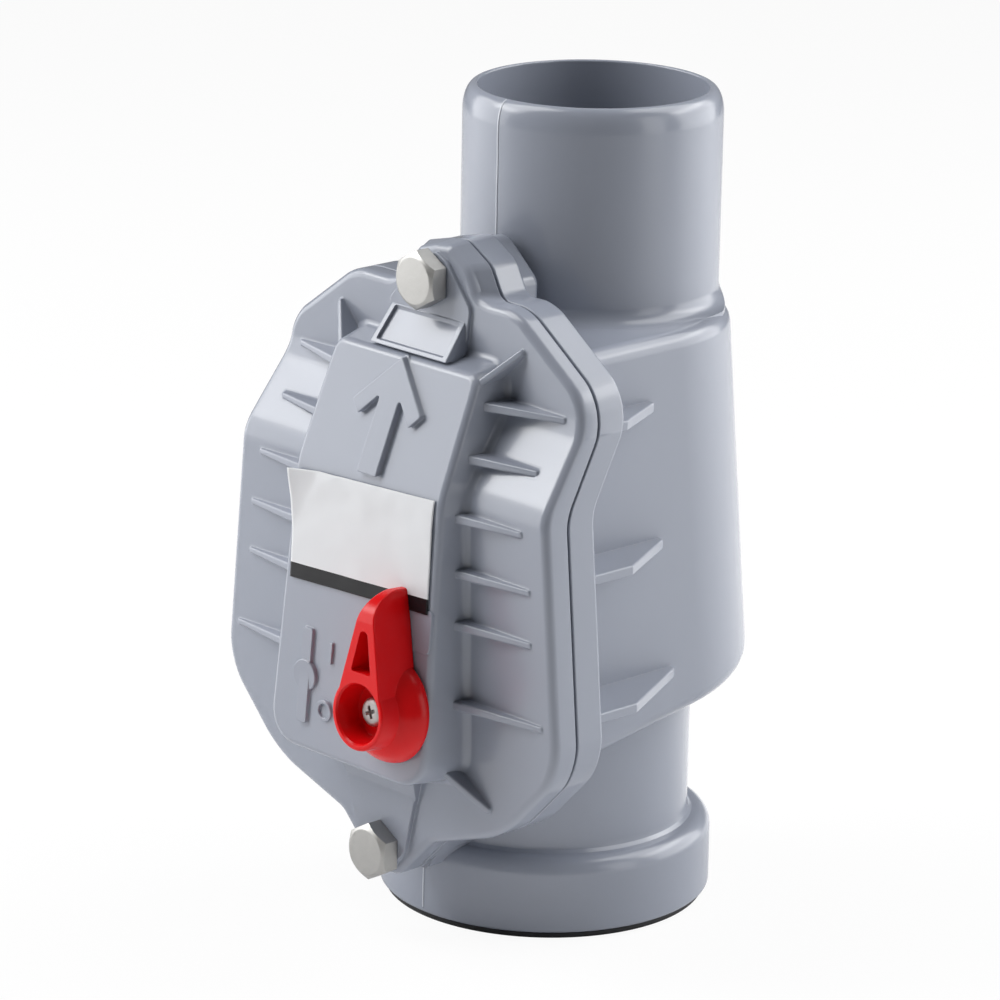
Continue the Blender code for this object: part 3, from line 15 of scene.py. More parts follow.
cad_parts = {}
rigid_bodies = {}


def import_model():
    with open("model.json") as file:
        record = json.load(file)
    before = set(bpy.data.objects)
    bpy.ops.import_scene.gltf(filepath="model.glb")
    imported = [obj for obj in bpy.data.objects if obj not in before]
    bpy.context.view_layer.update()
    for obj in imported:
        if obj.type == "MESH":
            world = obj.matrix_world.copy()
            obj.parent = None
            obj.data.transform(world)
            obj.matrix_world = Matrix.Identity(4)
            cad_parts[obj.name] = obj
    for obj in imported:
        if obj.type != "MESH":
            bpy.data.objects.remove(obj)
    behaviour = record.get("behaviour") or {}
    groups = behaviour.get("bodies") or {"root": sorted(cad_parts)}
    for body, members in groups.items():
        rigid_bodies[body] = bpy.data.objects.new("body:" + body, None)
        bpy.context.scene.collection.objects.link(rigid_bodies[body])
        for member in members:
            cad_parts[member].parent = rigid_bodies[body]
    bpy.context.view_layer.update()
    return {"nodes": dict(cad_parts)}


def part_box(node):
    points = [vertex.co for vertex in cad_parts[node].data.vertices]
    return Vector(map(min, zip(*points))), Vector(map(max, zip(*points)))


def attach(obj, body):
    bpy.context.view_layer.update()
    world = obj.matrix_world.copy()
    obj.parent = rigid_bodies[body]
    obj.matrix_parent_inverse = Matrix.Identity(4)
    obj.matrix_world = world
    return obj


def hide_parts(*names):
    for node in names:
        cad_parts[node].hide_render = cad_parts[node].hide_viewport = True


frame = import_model()

# %% [markdown]
# The valve is drawn in millimetres, as it would be on a mould maker's sheet: X to the right of the
# cover, Z up from the collar's lower face, and the cover facing -Y, with the socket's axis at zero.
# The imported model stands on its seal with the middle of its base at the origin, so one matrix,
# worked out from two of its nodes, takes every finished piece there.

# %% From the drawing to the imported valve
MM = 0.001
seal_low, seal_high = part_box("socket_seal")
body_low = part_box("valve_body")[0]
STAND = Vector((0, (seal_low.y + seal_high.y) / 2, body_low.z))
TO_VALVE = Matrix.Translation(STAND) @ Matrix.Scale(MM, 4)
print("socket axis at Y", round(STAND.y / MM, 2), "mm, collar foot at Z", round(STAND.z / MM, 2), "mm")

# %% [markdown]
# The camera stands where the photographer stood: to the right of the cover and a little above it,
# with a long lens. Its place follows from two angles, a small roll and the distance to the point
# that it looks at.

# %% Camera
CAMERA_AZIMUTH = math.radians(46.23)
CAMERA_ELEVATION = math.radians(16.669)
CAMERA_ROLL = math.radians(1.055)
CAMERA_DISTANCE = 0.961252
CAMERA_LENS = 178.2
LOOK_AT = STAND + Vector((-6.954, -7.260, 77.185)) * MM

to_camera = Vector((math.sin(CAMERA_AZIMUTH) * math.cos(CAMERA_ELEVATION),
                    -math.cos(CAMERA_AZIMUTH) * math.cos(CAMERA_ELEVATION),
                    math.sin(CAMERA_ELEVATION)))
level_right = Vector((math.cos(CAMERA_AZIMUTH), math.sin(CAMERA_AZIMUTH), 0))
level_up = to_camera.cross(level_right)
camera_right = level_right * math.cos(CAMERA_ROLL) + level_up * math.sin(CAMERA_ROLL)
camera_up = level_up * math.cos(CAMERA_ROLL) - level_right * math.sin(CAMERA_ROLL)

camera_data = bpy.data.cameras.new("photo_camera")
camera_data.lens = CAMERA_LENS
camera_data.sensor_width = 36.0
camera_data.clip_start = 0.05
camera_data.clip_end = 20.0
camera = bpy.data.objects.new("photo_camera", camera_data)
bpy.context.scene.collection.objects.link(camera)
turn = Matrix((camera_right, camera_up, to_camera)).transposed().to_4x4()
camera.matrix_world = Matrix.Translation(LOOK_AT + to_camera * CAMERA_DISTANCE) @ turn
bpy.context.scene.camera = camera
print("camera at", [round(c, 3) for c in camera.matrix_world.translation])

# %% [markdown]
# Small products are lit from large soft boxes at both sides. Here they stand a little behind the
# valve, so the side that faces the camera stays darker and its round forms are drawn by bright
# edges. Area lamps make such boxes. Each is placed by two angles: how far it stands round from the
# camera, to the right, and how high. The world adds almost nothing to the light that falls on the
# valve, but it is white where the camera sees it, and pale where a glossy surface mirrors it.

# %% Lights and world
towards = Vector((to_camera.x, to_camera.y, 0)).normalized()
UP = Vector((0, 0, 1))
LAMP_DISTANCE = 0.85


def soft_box(name, azimuth, elevation, width, height, power):
    """An area lamp turned towards the valve's middle, placed by its angles from the camera, in degrees."""
    level = towards * math.cos(math.radians(azimuth)) + level_right * math.sin(math.radians(azimuth))
    direction = level * math.cos(math.radians(elevation)) + UP * math.sin(math.radians(elevation))
    data = bpy.data.lights.new(name, "AREA")
    data.shape = "RECTANGLE"
    data.size = width
    data.size_y = height
    data.energy = power
    lamp = bpy.data.objects.new(name, data)
    place = LOOK_AT + direction * LAMP_DISTANCE
    lamp.matrix_world = Matrix.Translation(place) @ direction.to_track_quat("Z", "Y").to_matrix().to_4x4()
    bpy.context.scene.collection.objects.link(lamp)


def computed(tree, operation, first, second):
    """The result of a Math node, whose inputs are an output socket and a socket or a number."""
    node = tree.nodes.new("ShaderNodeMath")
    node.operation = operation
    tree.links.new(first, node.inputs[0])
    if isinstance(second, float):
        node.inputs[1].default_value = second
    else:
        tree.links.new(second, node.inputs[1])
    return node.outputs[0]


soft_box("left_low_box", -107, 15, 0.82, 0.75, 5.6)
soft_box("left_high_box", -90, 50, 0.45, 0.75, 5.4)
soft_box("right_low_box", 107, 15, 0.82, 0.75, 5.5)
soft_box("right_high_box", 104, 50, 0.60, 0.75, 4.3)
soft_box("right_front_box", 55, 12, 0.30, 0.75, 1.2)

FILL = 0.02
REFLECTED = 0.18
world = bpy.data.worlds.new("studio")
world.use_nodes = True
bpy.context.scene.world = world
background = world.node_tree.nodes["Background"]
background.inputs["Color"].default_value = (1, 1, 1, 1)
rays = world.node_tree.nodes.new("ShaderNodeLightPath").outputs
seen = computed(world.node_tree, "MAXIMUM", rays["Is Camera Ray"], rays["Is Transmission Ray"])
mirrored_rays = computed(world.node_tree, "MULTIPLY", rays["Is Glossy Ray"], REFLECTED)
brightest = computed(world.node_tree, "MAXIMUM", seen, mirrored_rays)
strength = computed(world.node_tree, "MAXIMUM", brightest, FILL)
world.node_tree.links.new(strength, background.inputs["Strength"])
bpy.context.scene.view_settings.view_transform = "Standard"

# %% [markdown]
# The floor is a plain white sheet. Its own colour is nearly white, and the part of it that the
# camera sees glows a little, so that it runs into the white behind it and still shows the soft
# shadow under the valve.

# %% Floor
floor_mesh = bmesh.new()
bmesh.ops.create_grid(floor_mesh, x_segments=1, y_segments=1, size=3.0)
floor_data = bpy.data.meshes.new("floor")
floor_mesh.to_mesh(floor_data)
floor_mesh.free()
floor = bpy.data.objects.new("floor", floor_data)
bpy.context.scene.collection.objects.link(floor)

def new_material(name):
    """A material, its node tree and its Principled shader."""
    material = bpy.data.materials.new(name)
    material.use_nodes = True
    return material, material.node_tree, material.node_tree.nodes["Principled BSDF"]


FLOOR_GLOW = 0.93
paper_white, sheet, matt = new_material("white_sheet")
matt.inputs["Base Color"].default_value = (0.90, 0.90, 0.90, 1)
matt.inputs["Roughness"].default_value = 0.9
matt.inputs["Specular IOR Level"].default_value = 0.1
glow = sheet.nodes.new("ShaderNodeEmission")
glow.inputs["Strength"].default_value = 1.0
blend = sheet.nodes.new("ShaderNodeMixShader")
looked_at = sheet.nodes.new("ShaderNodeLightPath").outputs["Is Camera Ray"]
sheet.links.new(computed(sheet, "MULTIPLY", looked_at, FLOOR_GLOW), blend.inputs[0])
sheet.links.new(matt.outputs[0], blend.inputs[1])
sheet.links.new(glow.outputs[0], blend.inputs[2])
sheet.links.new(blend.outputs[0], sheet.nodes["Material Output"].inputs["Surface"])
floor_data.materials.append(paper_white)
print("floor material:", paper_white.name)

# %% [markdown]
# Moulded plastic is dyed through, so its colour is even, but its surface never is. The gloss varies
# where the mould was polished or worn, large faces sink in slow waves over the ribs behind them, a
# fine grain breaks the reflections, and every edge is slightly rounded. Noise textures on Object
# coordinates give the first three, and the Bevel node rounds the shading of the finest edges.

# %% Moulded plastic
GLOSS_SPREAD = 0.03


def moulded(name, colour, roughness, grain=0.10, wave=0.25, edge=0.00012):
    """A moulded material: even colour, uneven gloss, fine grain, slow waves and soft edges."""
    material, tree, shader = new_material(name)
    nodes, links = tree.nodes, tree.links
    place = nodes.new("ShaderNodeTexCoord")

    def cloudy(scale, detail, low, high, low_value, high_value):
        texture = nodes.new("ShaderNodeTexNoise")
        texture.inputs["Scale"].default_value = scale
        texture.inputs["Detail"].default_value = detail
        links.new(place.outputs["Object"], texture.inputs["Vector"])
        spread = nodes.new("ShaderNodeMapRange")
        spread.interpolation_type = "SMOOTHERSTEP"
        spread.inputs["From Min"].default_value = low
        spread.inputs["From Max"].default_value = high
        spread.inputs["To Min"].default_value = low_value
        spread.inputs["To Max"].default_value = high_value
        links.new(texture.outputs[0], spread.inputs["Value"])
        return spread.outputs["Result"]

    shader.inputs["Base Color"].default_value = (*colour, 1)
    gloss = cloudy(60.0, 1.0, 0.1, 0.9, roughness - GLOSS_SPREAD, roughness + GLOSS_SPREAD)
    links.new(gloss, shader.inputs["Roughness"])

    softened = nodes.new("ShaderNodeBevel")
    softened.samples = 6
    softened.inputs["Radius"].default_value = edge
    slow = nodes.new("ShaderNodeBump")
    slow.inputs["Strength"].default_value = wave
    slow.inputs["Distance"].default_value = 0.0006
    links.new(cloudy(42.0, 0.0, -0.1, 1.1, 0.0, 1.0), slow.inputs["Height"])
    links.new(softened.outputs["Normal"], slow.inputs["Normal"])
    fine = nodes.new("ShaderNodeBump")
    fine.inputs["Strength"].default_value = grain
    fine.inputs["Distance"].default_value = 0.00003
    links.new(cloudy(2600.0, 2.0, 0.0, 1.0, 0.0, 1.0), fine.inputs["Height"])
    links.new(slow.outputs["Normal"], fine.inputs["Normal"])
    links.new(fine.outputs["Normal"], shader.inputs["Normal"])
    return material


grey_plastic = moulded("grey_abs", (0.294, 0.318, 0.378), 0.235)
grey_shader = grey_plastic.node_tree.nodes["Principled BSDF"]
grey_shader.inputs["Coat Weight"].default_value = 0.25
grey_shader.inputs["Coat Roughness"].default_value = 0.12
# The seam's pale grey is a painted highlight: it stands in for the bright line that the thin ridge catches
# from the lamps.
seam_painted_highlight = moulded("grey_abs_painted_seam_highlight", (0.56, 0.59, 0.65), 0.20, wave=0.0)
red_plastic = moulded("red_lever_plastic", (0.70, 0.005, 0.007), 0.20, grain=0.02, wave=0.02)
red_plastic.node_tree.nodes["Principled BSDF"].inputs["Specular IOR Level"].default_value = 0.22
black_plastic = moulded("black_flap_plastic", (0.028, 0.029, 0.032), 0.42)
black_rubber = moulded("black_rubber", (0.016, 0.016, 0.018), 0.62, grain=0.4, wave=0.1)
print("plastics:", [m.name for m in (grey_plastic, seam_painted_highlight, red_plastic, black_plastic, black_rubber)])

# %% [markdown]
# The bolts, nuts, pin and screws are stainless steel. Cold-forged heads are satin rather than
# bright: the metal takes a pale warm grey, its gloss is broken by fine scratches, and tiny dents
# from the forging die stay in it.

# %% Stainless steel
def forged_steel(name, colour, roughness):
    """Satin steel: one noise texture mottles its tint, its gloss and the dents."""
    material, tree, shader = new_material(name)
    nodes, links = tree.nodes, tree.links
    shader.inputs["Metallic"].default_value = 1.0
    place = nodes.new("ShaderNodeTexCoord")
    mottle = nodes.new("ShaderNodeTexNoise")
    mottle.inputs["Scale"].default_value = 700.0
    mottle.inputs["Detail"].default_value = 4.0
    links.new(place.outputs["Object"], mottle.inputs["Vector"])
    tint = nodes.new("ShaderNodeMix")
    tint.data_type = "RGBA"
    tint.inputs["A"].default_value = (*[c * 0.82 for c in colour], 1)
    tint.inputs["B"].default_value = (*colour, 1)
    links.new(mottle.outputs[0], tint.inputs["Factor"])
    links.new(tint.outputs["Result"], shader.inputs["Base Color"])
    gloss = nodes.new("ShaderNodeMapRange")
    gloss.inputs["To Min"].default_value = roughness - 0.1
    gloss.inputs["To Max"].default_value = roughness + 0.14
    links.new(mottle.outputs[0], gloss.inputs["Value"])
    links.new(gloss.outputs["Result"], shader.inputs["Roughness"])
    softened = nodes.new("ShaderNodeBevel")
    softened.inputs["Radius"].default_value = 0.00018
    dents = nodes.new("ShaderNodeBump")
    dents.inputs["Strength"].default_value = 0.35
    dents.inputs["Distance"].default_value = 0.00018
    links.new(mottle.outputs[0], dents.inputs["Height"])
    links.new(softened.outputs["Normal"], dents.inputs["Normal"])
    links.new(dents.outputs["Normal"], shader.inputs["Normal"])
    return material


stainless_steel = forged_steel("stainless_steel", (0.49, 0.485, 0.47), 0.46)
print("steel:", stainless_steel.name)

# %% [markdown]
# Forms. A moulded part is thought of as outlines that are pushed out of flat sheets. The first
# helper draws such an outline from a few corners and rounds each corner with a vertex bevel. The
# second pushes it up into a block with rounded rims.

# %% Outlines and blocks
def flat_face(corners, steps=5):
    """A flat face through corners (x, y, radius), each rounded by bevelling its vertex."""
    bm = bmesh.new()
    verts = [bm.verts.new((x, y, 0)) for x, y, radius in corners]
    bm.faces.new(verts)
    for i, (x, y, radius) in enumerate(corners):
        if radius <= 0:
            continue
        here = Vector((x, y))
        before = Vector(corners[i - 1][:2]) - here
        after = Vector(corners[(i + 1) % len(corners)][:2]) - here
        reach = min(radius / math.tan(before.angle(after) / 2), 0.49 * before.length, 0.49 * after.length)
        bmesh.ops.bevel(bm, geom=[verts[i]], offset=reach, offset_type="OFFSET", affect="VERTICES",
                        segments=steps, profile=0.5, material=-1)
    if bm.faces[:][0].normal.z < 0:
        bmesh.ops.reverse_faces(bm, faces=bm.faces)
    return bm


def mirrored(right_side):
    """Corners on the right, from top to bottom, and their mirror images, as one closed outline."""
    return list(right_side) + [(-x, y, radius) for x, y, radius in reversed(right_side)]


def moved_corners(corners, by):
    """The same corners with every side moved outwards by a distance."""
    pairs = [(corners[i - 1], corners[i]) for i in range(len(corners))]
    area = sum(a[0] * b[1] - b[0] * a[1] for a, b in pairs)
    outwards = -1 if area > 0 else 1
    result = []
    for i, (x, y, radius) in enumerate(corners):
        here = Vector((x, y))
        coming = (here - Vector(corners[i - 1][:2])).normalized()
        going = (Vector(corners[(i + 1) % len(corners)][:2]) - here).normalized()
        middle = (coming + going).normalized()
        square = Vector((-middle.y, middle.x)) * outwards
        stretch = by / max(0.3, middle.dot(coming))
        turns_out = (coming.x * going.y - coming.y * going.x) * outwards < 0
        grown = max(0.05, radius + by * (1 if turns_out else -1))
        result.append((x + square.x * stretch, y + square.y * stretch, grown if radius > 0 else 0))
    return result


def rim_at(bm, level):
    """The edges that lie at a level along Z."""
    return [e for e in bm.edges if all(abs(v.co.z - level) < 1e-4 for v in e.verts)]


def round_edges(bm, edges, width, steps=4):
    bmesh.ops.bevel(bm, geom=edges, offset=width, offset_type="OFFSET", affect="EDGES", segments=steps,
                    profile=0.5, material=-1, clamp_overlap=False)


def face_outwards(bm):
    """Recalculates the normals of a closed form, and turns all its faces if they came out inwards."""
    bmesh.ops.recalc_face_normals(bm, faces=bm.faces)
    if bm.calc_volume(signed=True) < 0:
        bmesh.ops.reverse_faces(bm, faces=bm.faces)


def pushed_up(bm, distance):
    """Extrudes a flat face along Z and returns the face at the far end."""
    made = bmesh.ops.extrude_face_region(bm, geom=bm.faces[:])["geom"]
    top = [f for f in made if isinstance(f, bmesh.types.BMFace)][0]
    bmesh.ops.translate(bm, vec=(0, 0, distance), verts=top.verts)
    return top


def block(corners, low, high, top_edge=0.0, foot_edge=0.0, steps=5):
    """An outline pushed up from low to high, with its rims rounded."""
    bm = flat_face(corners, steps)
    bmesh.ops.translate(bm, vec=(0, 0, low), verts=bm.verts)
    pushed_up(bm, high - low)
    face_outwards(bm)
    if top_edge > 0:
        round_edges(bm, rim_at(bm, high), top_edge)
    if foot_edge > 0:
        round_edges(bm, rim_at(bm, low), foot_edge)
    return bm


def cut_across(bm, heights):
    """Cuts a form straight across at heights along Y, so that it can bend there."""
    for height in heights:
        bmesh.ops.bisect_plane(bm, geom=bm.verts[:] + bm.edges[:] + bm.faces[:], plane_co=(0, height, 0),
                               plane_no=(0, 1, 0))


sample = block([(0, 0, 0), (2, 0, 0), (2, 1, 0), (0, 1, 0)], 0, 3)
print("a block of 2 by 1 by 3 has volume", round(sample.calc_volume(), 2))
sample.free()


# %% [markdown]
# Round forms are spun from a profile of (radius, height) points, as on a lathe, and arcs in a
# profile come from a formula. A profile that starts and ends on the axis closes by itself, and a
# ring's profile is closed first.

# %% Turned forms
def arc(centre, radius, start, end, steps=6):
    """Points on an arc, angles in degrees, both ends included."""
    points = []
    for i in range(steps + 1):
        angle = math.radians(start + (end - start) * i / steps)
        points.append((centre[0] + radius * math.cos(angle), centre[1] + radius * math.sin(angle)))
    return points


def turned(profile, steps=96, ring=False):
    """A profile of (radius, height) points spun about Z."""
    bm = bmesh.new()
    line = [bm.verts.new((radius, 0, height)) for radius, height in profile]
    edges = [bm.edges.new((a, b)) for a, b in zip(line, line[1:])]
    if ring:
        edges.append(bm.edges.new((line[-1], line[0])))
    bmesh.ops.spin(bm, geom=line + edges, cent=(0, 0, 0), axis=(0, 0, 1), angle=math.tau, steps=steps,
                   use_merge=True)
    bmesh.ops.remove_doubles(bm, verts=bm.verts, dist=1e-4)
    face_outwards(bm)
    return bm


def rod(radius, low, high, steps=96):
    """A plain cylinder along Z."""
    return turned([(0, low), (radius, low), (radius, high), (0, high)], steps)


# %% [markdown]
# The cover is full of raised forms: panel, ribs, arrow and bosses. Each has the same anatomy, which
# comes from the mould: a foot that flares into the surface below, walls that lean in so that the
# part can leave the mould, and a rounded rim. The helper draws the foot's outline, steps inwards
# ring by ring with inset, cuts the rings at the heights where the surfaces bend, and then drapes
# every ring between the surface below and the form's own top.

# %% Raised forms
TALL = 100.0
SINK = 0.5
BURIED = 0.03


def raised(corners, ground, crest, foot=0.6, edge=0.5, lean=0.0, bends=(), steps=5, fine=4):
    """A form that rises from ground(x, y) to crest(x, y), with its corners given at the wall."""
    bm = flat_face(moved_corners(corners, foot) if foot > 0 else corners, steps)
    bmesh.ops.translate(bm, vec=(0, 0, -SINK), verts=bm.verts)
    turns = [math.radians(90 * i / fine) for i in range(fine + 1)]
    path = [(foot * math.sin(a), foot * (1 - math.cos(a))) for a in turns] if foot > 0 else [(0.0, 0.0)]
    path += [(foot + lean + edge * (1 - math.cos(a)), TALL - edge * (1 - math.sin(a))) for a in turns]
    top = pushed_up(bm, SINK + path[0][1])
    reached = 0.0
    for inwards, height in path[1:]:
        step = inwards - reached
        bmesh.ops.inset_individual(bm, faces=[top], thickness=max(step, 1e-4), depth=0, use_even_offset=True)
        reached = inwards
        bmesh.ops.translate(bm, vec=(0, 0, height - top.verts[0].co.z), verts=top.verts)
    cut_across(bm, bends)
    for v in bm.verts:
        low = ground(v.co.x, v.co.y) - BURIED
        high = crest(v.co.x, v.co.y)
        share = min(1.0, max(0.02, (high - low) / (foot + edge + 0.05)))
        height = v.co.z
        if height <= foot:
            v.co.z = low + height * (share if height > 0 else 1.0)
        elif height >= TALL - edge:
            v.co.z = high - (TALL - height) * share
        else:
            between = (height - foot) / (TALL - edge - foot)
            v.co.z = (low + foot * share) * (1 - between) + (high - edge * share) * between
    face_outwards(bm)
    return bm


# %% [markdown]
# Blender's exact Boolean joins the forms and cuts the hollows. Several forms are handed to it at
# once in a collection, which is faster than one at a time.

# %% Joining and cutting
def object_from(bm, name):
    mesh = bpy.data.meshes.new(name)
    bm.to_mesh(mesh)
    bm.free()
    obj = bpy.data.objects.new(name, mesh)
    bpy.context.scene.collection.objects.link(obj)
    return obj


def combined(base, forms, operation):
    """Joins forms to a bmesh, cuts them from it or keeps what they share, and returns a new bmesh."""
    base_object = object_from(base, "base")
    helpers = bpy.data.collections.new("forms")
    bpy.context.scene.collection.children.link(helpers)
    for form in forms:
        mesh = bpy.data.meshes.new("form")
        form.to_mesh(mesh)
        form.free()
        helpers.objects.link(bpy.data.objects.new("form", mesh))
    boolean = base_object.modifiers.new("shape", "BOOLEAN")
    boolean.operation = operation
    boolean.solver = "EXACT"
    boolean.operand_type = "COLLECTION"
    boolean.collection = helpers
    shaped = bmesh.new()
    shaped.from_object(base_object, bpy.context.evaluated_depsgraph_get())
    for helper in list(helpers.objects) + [base_object]:
        bpy.data.objects.remove(helper, do_unlink=True)
    bpy.data.collections.remove(helpers)
    bmesh.ops.remove_doubles(shaped, verts=shaped.verts, dist=0.0005)
    bmesh.ops.dissolve_degenerate(shaped, edges=shaped.edges, dist=0.0005)
    slits = [e for e in shaped.edges if e.is_boundary]
    if slits:
        bmesh.ops.holes_fill(shaped, edges=slits, sides=12)
    return shaped


def joined(base, *forms):
    return combined(base, forms, "UNION")


def cut(base, *forms):
    return combined(base, forms, "DIFFERENCE")


def kept(base, *forms):
    return combined(base, forms, "INTERSECT")


def placed(bm, matrix):
    """The same form, placed by a matrix."""
    bm.transform(matrix)
    bm.normal_update()
    return bm


def set_into(base, *forms):
    """Adds closed forms that stand in the base's wall, as shells of the same mesh that don't cut it."""
    for form in forms:
        mesh = bpy.data.meshes.new("form")
        form.to_mesh(mesh)
        form.free()
        base.from_mesh(mesh)
        bpy.data.meshes.remove(mesh)
    return base


def open_edges(bm):
    return sum(1 for e in bm.edges if len(e.link_faces) != 2)


# %% [markdown]
# A finished form leaves the drawing: it is taken to its place on the imported valve, shaded smooth except at
# sharp edges, and given a Weighted Normal modifier, which keeps large flat faces flat beside their rounded
# rims. It rides on a body of the imported valve, and the nodes that it stands for are hidden.

# %% Finishing a piece
def finish_piece(bm, name, material, body, nodes=(), sharp=32):
    edges_left_open = open_edges(bm)
    volume = bm.calc_volume(signed=True) / 1000
    obj = object_from(placed(bm, TO_VALVE), name)
    obj.data.materials.append(material)
    obj.data.shade_smooth()
    obj.data.set_sharp_from_angle(angle=math.radians(sharp))
    normals = obj.modifiers.new("flat_faces", "WEIGHTED_NORMAL")
    normals.keep_sharp = True
    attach(obj, body)
    if nodes:
        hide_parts(*nodes)
    print(name, "faces:", len(obj.data.polygons), "open edges:", edges_left_open,
          "volume:", round(volume, 2), "cm3")
    return obj


# %% [markdown]
# The cover and the body meet at a face that steps forwards below a slope, and the cover's own front
# follows it. In a mould such bends are soft, so each level is a straight line that eases into the
# next. Levels are measured forwards, along -Y, and heights along Z.

# %% The stepped levels
BEND_SOFTNESS = 2.6


def eased(distance):
    """Zero before a bend and the distance after it, with a soft start."""
    if distance <= -BEND_SOFTNESS:
        return 0.0
    if distance >= BEND_SOFTNESS:
        return distance
    return (distance + BEND_SOFTNESS) ** 2 / (4 * BEND_SOFTNESS)


COVER_LOW_FRONT, COVER_HIGH_FRONT = 43.1, 32.6
COVER_SLOPE_FOOT, COVER_SLOPE_TOP = 91.3, 106.0
PARTING_LOW_FRONT, PARTING_HIGH_FRONT = 37.1, 28.0
PARTING_SLOPE_FOOT, PARTING_SLOPE_TOP = 90.6, 105.0
PARTING_GAP = 0.5
FLANGE_THICKNESS = 6.6
PANEL_BEND = 90.6
PANEL_AT_BEND = 48.3
PANEL_LOWER_SLOPE = 0.098
PANEL_UPPER_SLOPE = 0.42


def cover_level(x, z):
    steepness = (COVER_LOW_FRONT - COVER_HIGH_FRONT) / (COVER_SLOPE_TOP - COVER_SLOPE_FOOT)
    return COVER_LOW_FRONT - steepness * (eased(z - COVER_SLOPE_FOOT) - eased(z - COVER_SLOPE_TOP))


def parting_level(x, z):
    steepness = (PARTING_LOW_FRONT - PARTING_HIGH_FRONT) / (PARTING_SLOPE_TOP - PARTING_SLOPE_FOOT)
    return PARTING_LOW_FRONT - steepness * (eased(z - PARTING_SLOPE_FOOT) - eased(z - PARTING_SLOPE_TOP))


def panel_level(x, z):
    above = z - PANEL_BEND
    return PANEL_AT_BEND - PANEL_LOWER_SLOPE * above - (PANEL_UPPER_SLOPE - PANEL_LOWER_SLOPE) * eased(above)


BEND_START = 3.2
BENDS = [bend - BEND_START + i * 1.0 for bend in (PARTING_SLOPE_FOOT, PARTING_SLOPE_TOP) for i in range(8)]
FACING_COVER = Matrix.Rotation(math.radians(90), 4, "X")
print("panel at the lever:", round(panel_level(0, 49.7), 2), "mm forwards")

# %% [markdown]
# Cover and body share one outline: a tall plate, narrower at the top, with a lug for a bolt above
# and below. Drawn flat, pushed up into a plate with rounded rims, cut at the bends and draped, it
# gives the cover's plate and the body's flange.

# %% The shared plate
UPPER_BOLT, LOWER_BOLT = 127.2, 16.3
UPPER_LUG = [(5.2, 134.8, 3.0), (11.6, 131.0, 4.0), (14.9, 124.9, 3.0)]
COVER_LUG_LEFT = [(-13.4, 124.9, 3.0), (-8.6, 129.5, 2.5), (-5.0, 132.9, 2.5), (1.0, 134.4, 3.0)]
FLANGE_LUG_LEFT = [(-13.4, 124.9, 3.0), (-8.3, 129.9, 4.0), (-3.6, 132.9, 2.0), (2.4, 134.4, 3.0)]
LOWER_LUG = [(12.6, 20.4, 4.0), (3.2, 11.0, 3.5)]
PLATE_SIDE = [(22.2, 125.0, 10.0), (40.0, 112.2, 10.0), (41.2, 104.5, 6.0), (46.8, 42.5, 13.0),
              (31.8, 26.8, 22.0)]
cover_corners = UPPER_LUG + mirrored(PLATE_SIDE + LOWER_LUG) + COVER_LUG_LEFT
flange_corners = UPPER_LUG + mirrored(PLATE_SIDE + LOWER_LUG) + FLANGE_LUG_LEFT


def draped_plate(corners, front, back, front_edge, back_edge):
    """A plate whose front and back each follow a stepped level."""
    flat = 10.0
    bm = block(corners, 0, flat, front_edge, back_edge, steps=8)
    cut_across(bm, BENDS)
    for v in bm.verts:
        if v.co.z > flat / 2:
            v.co.z = front(v.co.x, v.co.y) - (flat - v.co.z)
        else:
            v.co.z = back(v.co.x, v.co.y) + v.co.z
    face_outwards(bm)
    return bm


def behind(level, distance):
    """A level that lies a distance behind another."""
    return lambda x, z: level(x, z) - distance


def smooth_share(value, low, high):
    """Goes from 0 at low to 1 at high, softly at both ends."""
    share = min(1.0, max(0.0, (value - low) / (high - low)))
    return share * share * (3 - 2 * share)


TAPER_DEPTH = 2.2
TAPER_ACROSS, TAPER_DOWN = 0.17, 0.08


def taper_upper_lug(bm):
    """Draws the front of the upper lug in towards its bolt, so that its sides are drafted."""
    for v in bm.verts:
        if v.co.z > COVER_HIGH_FRONT - TAPER_DEPTH:
            share = smooth_share(v.co.y, 119.0, 126.0) * smooth_share(-abs(v.co.x), -18.0, -14.5)
            v.co.x *= 1 - TAPER_ACROSS * share
            v.co.y -= max(0.0, v.co.y - UPPER_BOLT) * TAPER_DOWN * share
    return bm


print("corners of the cover and the flange:", len(cover_corners), len(flange_corners))


# %% [markdown]
# The cover. Its raised panel has drafted sides and a face that bends back above the label. Ribs run
# from the panel's sides to the rim, and fins from its corners. All of them are raised forms whose
# crests are straight lines between two heights.

# %% Cover plate and panel
COVER_EDGE = 1.7
panel_corners = mirrored([(20.6, 114.2, 3.6), (22.9, 34.4, 7.6)])
hollow_outline = mirrored([(20.6, 114.2, 3.6), (22.9, 36.9, 9.8)])
cover_back = behind(parting_level, -PARTING_GAP)
cover = taper_upper_lug(draped_plate(cover_corners, cover_level, cover_back, COVER_EDGE, 0.25))
panel = raised(panel_corners, cover_level, panel_level, foot=1.7, edge=1.3, lean=0.9,
               bends=BENDS, steps=8, fine=5)
print("plate and panel, open edges:", open_edges(cover), open_edges(panel))

# %% Cover ribs
RIB_HALF, RIB_TIP_HALF = 0.95, 0.6
COVER_RIBS = [(107.2, 36.8, 37.8), (97.9, 35.6, 42.0), (87.3, 36.6, 45.6), (76.7, 39.0, 45.7),
              (66.7, 39.6, 45.9), (51.3, 43.0, 46.4)]


def crest_between(inner_x, inner_level, outer_x, outer_level):
    """A crest that falls from the panel's side to the rib's tip."""
    def crest(x, z):
        share = (abs(x) - inner_x) / (outer_x - inner_x)
        return inner_level + (outer_level - inner_level) * share
    return crest


